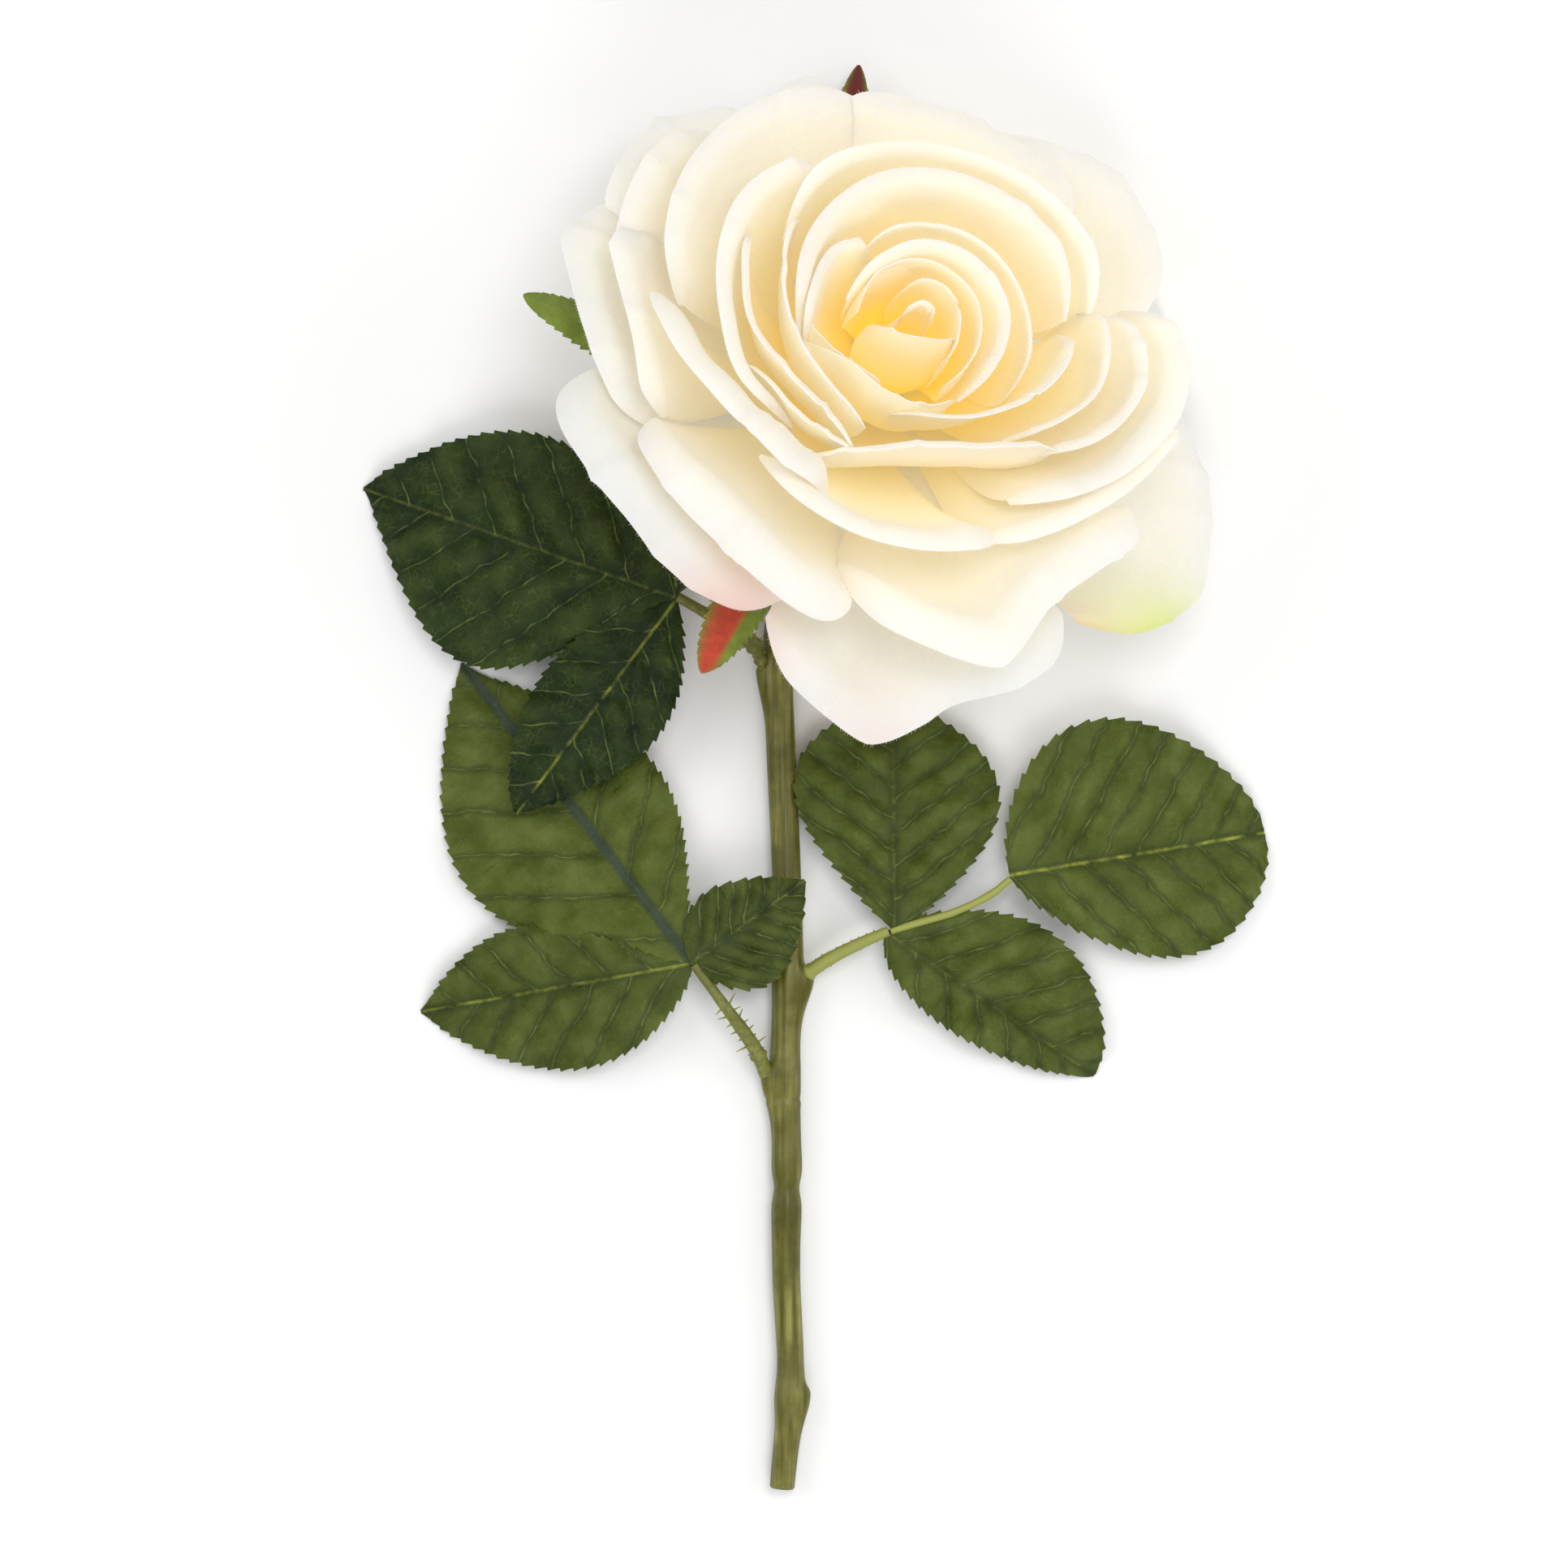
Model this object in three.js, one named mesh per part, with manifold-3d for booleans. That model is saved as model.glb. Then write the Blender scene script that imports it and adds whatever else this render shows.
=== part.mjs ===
// An artificial cut rose lying on its side: a moulded stem, three leaf sprays that plug onto it,
// a calyx with five sepals, and a bloom of cloth petals glued one by one round a core.
// Millimetres, +Z up. The stem lies along +Y with its cut end at the low end.
import * as THREE from "three";
import { mergeVertices } from "three/addons/utils/BufferGeometryUtils.js";
import Module from "manifold-3d";

const wasm = await Module();
wasm.setup();

// ---------------------------------------------------------------- driving dimensions
const STEM_LENGTH = 160; // cut end to the start of the neck
const STEM_RADIUS = 2.7; // typical, away from the nodes
const NECK_TURN = 9; // how far the neck drifts sideways before it meets the calyx
const NECK_RUN = 34.6; // length of the neck along the stem
const BLOOM_RADIUS = 60; // crest of the outer petals
const CUP_HEIGHT = 46; // crest of the inner petals above the calyx
const CORE_HEIGHT = 14; // foot of the first petal above the calyx
const CORE_RADIUS = 9.4; // foot of the last petal
const CALYX_DEPTH = 12;
const CALYX_RADIUS = 8.6;
const SEPAL_WIDTH = 9;
const CLOTH = 0.5; // thickness of petals, sepals and leaflets
const GAP = 0.34; // clearance between pieces that touch
const LEAF_SCALE = 1; // all leaflets together
const BLOOM_LEAN = 28; // bloom axis away from straight up, degrees
const BLOOM_TURN = 40; // which way it leans, from +Y towards +X, degrees

// ---------------------------------------------------------------- small helpers
const radians = THREE.MathUtils.degToRad;
const clamp = THREE.MathUtils.clamp;

// Value at t (0 to 1) of a smooth curve through equally spaced stations.
function along(stations, t) {
  if (!Array.isArray(stations)) return stations;
  const last = stations.length - 1;
  if (last === 0) return stations[0];
  if (last === 1) return THREE.MathUtils.lerp(stations[0], stations[1], t);
  const place = Math.min(t * last, last - 1e-9);
  const i = Math.floor(place);
  const f = place - i;
  const b = stations[i];
  const c = stations[i + 1];
  const a = i > 0 ? stations[i - 1] : 2 * b - c;
  const d = i + 2 <= last ? stations[i + 2] : 2 * c - b;
  return 0.5 * (2 * b + (c - a) * f + (2 * a - 5 * b + 4 * c - d) * f * f + (3 * (b - c) + d - a) * f ** 3);
}

// Pushes the border of a grid of points outwards by a margin, in its own surface.
function widenGrid(grid, margin) {
  const rows = grid.map((row) => row.map((point) => point.clone()));
  const push = (point, inner) => point.add(point.clone().sub(inner).setLength(margin));
  for (const row of rows) {
    push(row[0], row[1].clone());
    push(row[row.length - 1], row[row.length - 2].clone());
  }
  for (let j = 0; j < rows[0].length; j += 1) {
    push(rows[0][j], rows[1][j].clone());
    push(rows[rows.length - 1][j], rows[rows.length - 2][j].clone());
  }
  return rows;
}

// A closed sheet of even thickness on both sides of a grid of points.
function sheetGeometry(grid, thickness) {
  const rows = grid.length;
  const columns = grid[0].length;
  const faces = [1, -1].map((side) => grid.map((row, i) => row.map((point, j) => {
    const up = grid[Math.min(i + 1, rows - 1)][j].clone().sub(grid[Math.max(i - 1, 0)][j]);
    const across = row[Math.min(j + 1, columns - 1)].clone().sub(row[Math.max(j - 1, 0)]);
    const normal = across.cross(up).normalize();
    return point.clone().addScaledVector(normal, side * thickness / 2);
  })));
  const positions = faces.flat(2).flatMap((point) => [point.x, point.y, point.z]);
  const index = [];
  const at = (face, i, j) => face * rows * columns + i * columns + j;
  const quad = (a, b, c, d) => index.push(a, b, c, a, c, d);
  for (let i = 0; i < rows - 1; i += 1) {
    for (let j = 0; j < columns - 1; j += 1) {
      quad(at(0, i, j), at(0, i, j + 1), at(0, i + 1, j + 1), at(0, i + 1, j));
      quad(at(1, i, j), at(1, i + 1, j), at(1, i + 1, j + 1), at(1, i, j + 1));
    }
  }
  for (let j = 0; j < columns - 1; j += 1) {
    quad(at(0, 0, j), at(1, 0, j), at(1, 0, j + 1), at(0, 0, j + 1));
    quad(at(0, rows - 1, j), at(0, rows - 1, j + 1), at(1, rows - 1, j + 1), at(1, rows - 1, j));
  }
  for (let i = 0; i < rows - 1; i += 1) {
    quad(at(0, i, 0), at(0, i + 1, 0), at(1, i + 1, 0), at(1, i, 0));
    quad(at(0, i, columns - 1), at(1, i, columns - 1), at(1, i + 1, columns - 1), at(0, i + 1, columns - 1));
  }
  return indexedGeometry(positions, index);
}

// A closed rod of changing radius along a curve; radiusAt takes 0 to 1 along it.
function rodGeometry(curve, steps, sides, radiusAt) {
  const frames = curve.computeFrenetFrames(steps, false);
  const positions = [];
  const index = [];
  for (let i = 0; i <= steps; i += 1) {
    const centre = curve.getPointAt(i / steps);
    for (let j = 0; j < sides; j += 1) {
      const angle = 2 * Math.PI * j / sides;
      const point = centre.clone()
        .addScaledVector(frames.normals[i], radiusAt(i / steps) * Math.cos(angle))
        .addScaledVector(frames.binormals[i], radiusAt(i / steps) * Math.sin(angle));
      positions.push(point.x, point.y, point.z);
    }
  }
  for (let i = 0; i < steps; i += 1) {
    for (let j = 0; j < sides; j += 1) {
      const next = (j + 1) % sides;
      const a = i * sides + j;
      const b = i * sides + next;
      index.push(a, b, b + sides, a, b + sides, a + sides);
    }
  }
  for (let j = 1; j < sides - 1; j += 1) {
    const end = steps * sides;
    index.push(0, j + 1, j, end, end + j, end + j + 1);
  }
  return indexedGeometry(positions, index);
}

function indexedGeometry(positions, index) {
  const geometry = new THREE.BufferGeometry();
  geometry.setAttribute("position", new THREE.Float32BufferAttribute(positions, 3));
  geometry.setIndex(index);
  return geometry;
}

// ---------------------------------------------------------------- joins and cuts
const SPLINTER = 0.06; // a cut leaves no edge shorter than this

function toSolid(geometry) {
  const bare = geometry.clone();
  bare.deleteAttribute("normal");
  bare.deleteAttribute("uv");
  const merged = mergeVertices(bare, 1e-5);
  return new wasm.Manifold(new wasm.Mesh({
    numProp: 3,
    vertProperties: new Float32Array(merged.attributes.position.array),
    triVerts: new Uint32Array(merged.index.array),
  }));
}

// A solid's surface with each edge shorter than SPLINTER closed up, and the faces that vanish dropped.
function fromSolid(solid) {
  const { vertProperties, triVerts } = solid.getMesh();
  const corner = (i) => new THREE.Vector3().fromArray(vertProperties, 3 * i);
  const kept = Array.from({ length: vertProperties.length / 3 }, (_, i) => i);
  const find = (i) => (kept[i] === i ? i : find(kept[i]));
  for (let i = 0; i < triVerts.length; i += 1) {
    const a = find(triVerts[i]);
    const b = find(triVerts[i % 3 === 2 ? i - 2 : i + 1]);
    if (a !== b && corner(a).distanceTo(corner(b)) < SPLINTER) kept[Math.max(a, b)] = Math.min(a, b);
  }
  const faces = new Map();
  for (let i = 0; i < triVerts.length; i += 3) {
    const face = [find(triVerts[i]), find(triVerts[i + 1]), find(triVerts[i + 2])];
    const key = face.toSorted((a, b) => a - b).join();
    if (new Set(face).size < 3) continue;
    if (faces.has(key)) faces.delete(key);
    else faces.set(key, face);
  }
  return indexedGeometry(Array.from(vertProperties), [...faces.values()].flat());
}

// Cuts the wider copies of its neighbours out of a piece, and keeps the largest part that is left.
function trimmed(geometry, neighbours) {
  let solid = toSolid(geometry);
  for (const neighbour of neighbours) solid = solid.subtract(neighbour);
  return fromSolid(largest(toSolid(fromSolid(largest(solid)))));
}

function largest(solid) {
  return solid.decompose().reduce((best, piece) => (piece.volume() > best.volume() ? piece : best));
}

function sheetClearance(grid) {
  return toSolid(sheetGeometry(widenGrid(grid, GAP), CLOTH + 2 * GAP));
}

// ---------------------------------------------------------------- materials
const FINISHES = {
  petal: { color: 0xf3ead6, roughness: 0.85, metalness: 0 },
  leaf: { color: 0x3d4a26, roughness: 0.7, metalness: 0 },
  stem: { color: 0x5d5a2a, roughness: 0.5, metalness: 0 },
  petiole: { color: 0x7c8c45, roughness: 0.5, metalness: 0 },
  calyx: { color: 0x6f7d35, roughness: 0.55, metalness: 0 },
  core: { color: 0xe9e3cf, roughness: 0.6, metalness: 0 },
};

function namedMesh(name, geometry, finish) {
  const flat = geometry.toNonIndexed();
  flat.computeVertexNormals();
  const mesh = new THREE.Mesh(flat, new THREE.MeshStandardMaterial(FINISHES[finish]));
  mesh.name = name;
  return mesh;
}

// ---------------------------------------------------------------- bloom
// Sizes below are for a bloom of this radius and cup height, and grow with the driving ones.
const DRAWN_RADIUS = 60;
const DRAWN_CUP = 46;

// Each ring of petals, from the bud outwards. az holds stations, in degrees round the bloom's axis,
// from one side of the petal to the other. reach and height are the radius and height of its crest
// at equal steps between them. lip is the rolled edge past the crest, roll how far it turns over,
// rise the slope of the petal below its crest and leave its slope at the foot, both from outwards.
const RINGS = {
  bud_petal: {
    shape: { rise: 98, leave: 57, lip: 0.8, roll: 30, fall: 0.13 },
    petals: [
      { az: [20, 170], reach: [3.4, 2.6, 3.2], height: [38, 40, 38], lip: 1.5, roll: 60 },
      { az: [185, 345], reach: [9, 5.6, 5, 7.5], height: [38, 40.5, 40.5, 39], rise: 103, leave: 50 },
      { az: [300, 480], reach: [9, 6.6, 6, 6, 6.6], height: [40, 41.5, 42.5, 42.5, 41.5] },
      { az: [292, 540], reach: [13.5, 10.6, 9, 8.4, 9, 10.6, 12.2], height: [41, 43, 44, 44, 44, 43, 42] },
    ],
  },
  heart_petal: {
    shape: { rise: 88, leave: 46, lip: 1.5, roll: 50, fall: 0.15 },
    petals: [
      { az: [298, 532], reach: [17.5, 15.4, 14.4, 12.8, 12.2, 12, 12.6, 15],
        height: [41, 43, 44, 45, 45, 45, 44, 43], lip: 2.6, roll: 70, rise: 80 },
      { az: [322, 500], reach: [22, 19, 17.2, 16, 15.4, 15.4, 16.6], height: [42, 44, 45, 46, 46, 46, 45],
        lip: 1 },
      { az: [128, 200], reach: [15.5, 20, 22, 24], height: [41, 43, 43, 40], lip: 2.4, roll: 80,
        rise: 75, fall: 0.25 },
      { az: [186, 244], reach: [22, 18.5, 15], height: [40, 41, 39], lip: 0.6, roll: 20, rise: 100 },
      { az: [196, 294], reach: [25, 19, 18.5, 18.8, 16.5], height: [41, 42, 42, 42, 41], lip: 0.8,
        rise: 97 },
      { az: [255, 352], reach: [20.5, 22, 23.5, 26, 30], height: [41, 43, 44, 44, 44], lip: 2.5,
        rise: 80 },
    ],
  },
  inner_petal: {
    shape: { rise: 78, leave: 40, lip: 2.6, roll: 66, fall: 0.14 },
    petals: [
      { az: [8, 195], reach: [29.8, 28, 26.3, 25.2, 25, 25, 25.4, 25],
        height: [43, 45, 46, 47, 47, 46, 45, 42], lip: [3, 3, 3.5, 4.2, 4.4, 4.2, 3.5], roll: 85, rise: 75 },
      { az: [148, 246], reach: [29.5, 28.5, 27.6, 26, 25.6], height: [46, 46, 45, 43, 41], lip: 1.8,
        rise: 84 },
      { az: [8, 156], reach: [34.6, 34.2, 32.4, 31, 31, 31.8, 30.2], height: [42, 44, 45, 45, 45, 45, 44],
        lip: 3.4 },
      { az: [310, 372], reach: [28, 31, 34, 34, 33], height: [39, 41, 42, 43, 42], lip: 2 },
      { az: [160, 246], reach: [36, 35, 34, 31, 29.5, 30.5], height: [43, 43, 42, 42, 41, 40],
        lip: 3 },
      { az: [198, 262], reach: [35, 33, 32.5, 31, 29], height: [34, 38, 39, 39, 38], lip: 2.4 },
    ],
  },
  middle_petal: {
    shape: { rise: 66, leave: 30, lip: 5, roll: 80, fall: 0.15 },
    petals: [
      { az: [318, 372], reach: [33, 38, 41, 42.5, 41, 38], height: [36, 38, 39, 40, 40, 39], lip: 3,
        rise: 72 },
      { az: [229, 325], reach: [33.5, 29, 27.4, 27.5, 30, 36], height: [33, 39.5, 42, 42, 41, 37], lip: 3,
        rise: 88 },
      { az: [120, 224], reach: [32, 36.5, 39, 39.5, 39, 38, 32], height: [39, 41, 42, 42, 41, 38, 34],
        rise: 72 },
      { az: [304, 375], reach: [38, 43, 47, 50, 50, 46], height: [33, 36, 37, 38, 38, 37], lip: 6 },
      { az: [176, 246], reach: [50, 47.5, 43.5, 40.5, 38.5], height: [31, 36, 37, 36, 33], lip: 8.5 },
      { az: [224, 296], reach: [40, 43, 44, 43.5, 43, 42], height: [32, 35, 36, 35, 34, 31], roll: 90,
        rise: 60 },
      { az: [292, 350], reach: [42, 44.5, 47, 50, 53], height: [30, 33, 35, 35, 34], rise: 60 },
    ],
  },
  outer_petal: {
    shape: { rise: 47, leave: 22, lip: 6, roll: 70, fall: 0.2 },
    petals: [
      { az: [95, 178], reach: [46, 49, 50, 49, 46], height: [32, 35, 36, 36, 34] },
      { az: [40, 110], reach: [48, 49, 50, 50], height: [33, 35, 36, 34] },
      { az: [200, 262], reach: [52, 54, 54, 54.5, 56, 54], height: [22, 27, 28, 28, 27, 22], lip: 9,
        roll: 110 },
      { az: [258, 330], reach: [46, 54, 58.5, 54, 54, 57], height: [20, 23, 26, 29, 30, 30], lip: 9,
        roll: 100 },
      { az: [158, 202], reach: [54, 55, 54.5, 54], height: [26, 28, 28, 24] },
      { az: [128, 172], reach: [52, 56, 56, 54], height: [24, 28, 28, 26] },
      { az: [18, 92], reach: [58, 60, 58, 54, 52], height: [22, 26, 28, 28, 26], lip: 8 },
    ],
  },
  guard_petal: {
    shape: { rise: 30, leave: 12, lip: 7, roll: 65, fall: 0.2 },
    petals: [
      { az: [70, 125], reach: [54, 58, 61, 54], height: [15, 17, 18, 16] },
      { az: [110, 158], reach: [50, 59, 62, 62, 58], height: [14, 18, 18, 18, 16] },
      { az: [148, 200], reach: [58, 62, 60, 54], height: [14, 18, 18, 16] },
      { az: [184, 250], reach: [60, 63.5, 61.5, 58.5, 58.5, 57, 52], height: [12, 16, 18, 18, 18, 17, 14],
        lip: 11, roll: 110, rise: 40 },
      { az: [248, 311], reach: [58, 66, 69, 64, 63, 60], height: [12, 9, 6, 9, 12, 14], roll: 50,
        rise: 10 },
      { az: [315, 372], reach: [62, 69, 69, 65, 57], height: [9, 10, 9, 9, 9], rise: 20 },
      { az: [2, 40], reach: [58, 62, 60], height: [7, 9, 9], rise: 24 },
    ],
  },
};

const FOOT_WIDTH = 0.5; // share of a petal's sweep that is left at its foot
const FAN = 1.7; // how early a petal opens out from its foot
const SIDE_PULL = 0.55; // how far the sides of a petal draw in where they fall away
const LIP_TAPER = 0.75; // how much narrower the lip is at the two ends
const BELLY = 0.42; // how far the two end slopes of a petal reach along it
const SHOULDER = 0.72; // where the sides of a petal start to fall away
const COLUMN_STEP = 20; // degrees of sweep to each column of a petal's mesh
const BODY_ROWS = 4;
const LIP_ROWS = 2;

// The feet of the petals wind down the core from its tip to its rim; share runs from 0 to 1.
const FIRST_FOOT = 1.2; // radius of the first petal's foot
const WINDING = 0.7; // below 1, the feet spread quickly at first
const FOOT_DROP = 0.84; // share of the core's height that the feet wind down

function footRadius(share) {
  return FIRST_FOOT + (CORE_RADIUS - FIRST_FOOT) * share ** WINDING;
}

function footHeight(share) {
  return CORE_HEIGHT * (1 - FOOT_DROP * share);
}

// One meridian of a petal: a curve from its foot to its crest, then the rolled lip.
function petalMeridian(petal, t, share) {
  const side = clamp((Math.abs(2 * t - 1) - SHOULDER) / (1 - SHOULDER), 0, 1) ** 2;
  const foot = new THREE.Vector2(footRadius(share), footHeight(share));
  const crest = new THREE.Vector2(
    along(petal.reach, t) * BLOOM_RADIUS / DRAWN_RADIUS,
    along(petal.height, t) * CUP_HEIGHT / DRAWN_CUP,
  );
  crest.y -= (crest.y - foot.y) * petal.fall * side;
  crest.x -= (crest.x - foot.x) * petal.fall * side * SIDE_PULL;
  const rise = radians(petal.rise);
  const turn = radians(petal.roll) / LIP_ROWS;
  const step = along(petal.lip, t) * (1 - LIP_TAPER * side) / LIP_ROWS;
  const lip = [new THREE.Vector2()];
  for (let i = 0; i < LIP_ROWS; i += 1) {
    const slope = rise - turn * (i + 0.5);
    lip.push(lip[i].clone().add(new THREE.Vector2(Math.cos(slope), Math.sin(slope)).multiplyScalar(step)));
  }
  crest.x -= Math.max(...lip.map((point) => point.x));
  const reach = BELLY * crest.distanceTo(foot);
  const leave = radians(petal.leave);
  const body = new THREE.CubicBezierCurve(
    foot,
    new THREE.Vector2(foot.x + reach * Math.cos(leave), foot.y + reach * Math.sin(leave)),
    new THREE.Vector2(crest.x - reach * Math.cos(rise), crest.y - reach * Math.sin(rise)),
    crest,
  );
  const points = [];
  for (let i = 0; i < BODY_ROWS; i += 1) points.push(body.getPoint(i / BODY_ROWS));
  return points.concat(lip.map((point) => point.add(crest)));
}

// The petal's middle surface as a grid of points in the bloom's frame, foot first.
function petalGrid(petal, share) {
  const first = petal.az[0];
  const last = petal.az[petal.az.length - 1];
  const middle = (first + last) / 2;
  const columns = Math.max(5, Math.round((last - first) / COLUMN_STEP) + 1);
  const grid = [];
  for (let j = 0; j < columns; j += 1) {
    const t = j / (columns - 1);
    const side = along(petal.az, t);
    petalMeridian(petal, t, share).forEach((point, i) => {
      const climb = Math.min(i / BODY_ROWS, 1);
      const spread = FOOT_WIDTH + (1 - FOOT_WIDTH) * (1 - (1 - climb) ** FAN);
      const azimuth = radians(middle + (side - middle) * spread);
      grid[i] ??= [];
      grid[i].push(new THREE.Vector3(point.x * Math.cos(azimuth), point.x * Math.sin(azimuth), point.y));
    });
  }
  return grid;
}

// A sepal: a pointed strip under the petals, from the calyx rim out past the petals' edges.
const SEPALS = [
  { az: 171, length: 59, lift: 9 },
  { az: 243, length: 57, lift: 2 },
  { az: 311, length: 44, lift: 1 },
  { az: 9, length: 56, lift: 6 },
  { az: 92, length: 57, lift: 11 },
];
const SEPAL_ROWS = 7;

function sepalGrid({ az, length, lift }) {
  const azimuth = radians(az);
  const grid = [];
  for (let i = 0; i <= SEPAL_ROWS; i += 1) {
    const u = i / SEPAL_ROWS;
    const radius = CALYX_RADIUS + GAP + CLOTH + u * length * BLOOM_RADIUS / DRAWN_RADIUS;
    const half = SEPAL_WIDTH / 2 * Math.max(0.06, (1 - u ** 1.6) * (0.75 + 0.5 * u));
    const height = lift * u ** 2 * BLOOM_RADIUS / DRAWN_RADIUS - 2 * CLOTH;
    grid.push([-1, 0, 1].map((side) => new THREE.Vector3(radius, side * half, height - 0.6 * Math.abs(side))
      .applyAxisAngle(new THREE.Vector3(0, 0, 1), azimuth)));
  }
  return grid;
}

// A profile of radius and height pairs, turned round the bloom's axis.
function turned(profile, sides) {
  const geometry = new THREE.LatheGeometry(profile.map(([r, h]) => new THREE.Vector2(r, h)), sides);
  return geometry.rotateX(Math.PI / 2);
}

function coreGeometry() {
  const base = 2 * CLOTH;
  const wall = CLOTH + GAP;
  return turned([
    [0, base],
    [CORE_RADIUS - 2 * wall, base],
    [footRadius(0.5) - wall, footHeight(0.62)],
    [footRadius(0.12) - wall, footHeight(0.2)],
    [0.4, CORE_HEIGHT - GAP],
    [0, CORE_HEIGHT],
  ], 16);
}

function calyxGeometry() {
  return turned([
    [0, -CALYX_DEPTH],
    [STEM_RADIUS + 0.4, -CALYX_DEPTH],
    [STEM_RADIUS + 1, -0.9 * CALYX_DEPTH],
    [0.82 * CALYX_RADIUS, -0.55 * CALYX_DEPTH],
    [0.95 * CALYX_RADIUS, -0.3 * CALYX_DEPTH],
    [CALYX_RADIUS, 0],
    [CALYX_RADIUS - 1, 2 * CLOTH - GAP],
    [0, 2 * CLOTH - GAP],
  ], 20);
}

// Petals are added from the bud outwards, and each is trimmed clear of those already there.
function makeBloom() {
  const bloom = new THREE.Group();
  const core = coreGeometry();
  bloom.add(namedMesh("petal_core", core, "core"));
  bloom.add(namedMesh("calyx", calyxGeometry(), "calyx"));
  const taken = [toSolid(core), toSolid(calyxGeometry())];
  SEPALS.forEach((sepal, i) => {
    const grid = sepalGrid(sepal);
    bloom.add(namedMesh(`sepal_${i + 1}`, trimmed(sheetGeometry(grid, CLOTH), taken), "calyx"));
    taken.push(sheetClearance(grid));
  });
  const total = Object.values(RINGS).reduce((sum, ring) => sum + ring.petals.length, 0);
  let count = 0;
  for (const [ringName, ring] of Object.entries(RINGS)) {
    ring.petals.forEach((petal, i) => {
      const grid = petalGrid({ ...ring.shape, ...petal }, count / (total - 1));
      bloom.add(namedMesh(`${ringName}_${i + 1}`, trimmed(sheetGeometry(grid, CLOTH), taken), "petal"));
      taken.push(sheetClearance(grid));
      count += 1;
    });
  }
  return bloom;
}

// ---------------------------------------------------------------- stem
// Distances down the stem from the neck, so that a shorter cut leaves the leaves where they are.
const UPPER_NODE = 8;
const RIGHT_NODE = 65;
const LOWER_NODE = 83;
const PINCH = 104;
const OLD_SCAR = 143;
const NODE_SWELL = 0.5; // how far the largest nodes stand proud, which is what the stem lies on
const STEM_SIDES = 10;
const STEM_STEPS = 34;

// Sideways sway of the stem at even steps from the cut end to the neck.
const SWAY = [0, 1.6, 0.8, 0.9, 0.6, 1.2, 0.6, -0.3, -0.5];

function stemCentre(down) {
  const t = 1 - clamp(down / STEM_LENGTH, 0, 1);
  return new THREE.Vector3(along(SWAY, t), STEM_LENGTH - down, STEM_RADIUS + NODE_SWELL);
}

// Radius at a distance down from the neck: a slight taper, swollen nodes and one pinch.
function stemRadius(down) {
  const bump = (centre, width, size) => size * Math.exp(-(((down - centre) / width) ** 2));
  const taper = STEM_RADIUS * (1 - 0.16 * clamp((down - PINCH) / 60, 0, 1));
  return taper + bump(UPPER_NODE, 4, 0.35) + bump(RIGHT_NODE, 4, NODE_SWELL) + bump(LOWER_NODE, 5, 0.3)
    + bump(PINCH, 3, -0.45) + bump(OLD_SCAR, 4, NODE_SWELL);
}

// The stem lies on the surface and its neck climbs to the calyx along the bloom's axis.
// A margin makes the wider copy that its neighbours are trimmed by.
function stemGeometry(calyxEnd, axis, margin) {
  const points = [];
  for (let down = STEM_LENGTH; down >= 0; down -= STEM_LENGTH / 8) points.push(stemCentre(down));
  points.push(stemCentre(0).lerp(calyxEnd, 0.6).setZ(STEM_RADIUS + NODE_SWELL));
  points.push(calyxEnd.clone().addScaledVector(axis, -STEM_RADIUS));
  points.push(calyxEnd);
  const curve = new THREE.CatmullRomCurve3(points, false, "centripetal");
  const length = curve.getLength();
  const radiusAt = (t) => stemRadius(STEM_LENGTH - t * length) + margin;
  return rodGeometry(curve, STEM_STEPS, STEM_SIDES, radiusAt);
}

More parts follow.
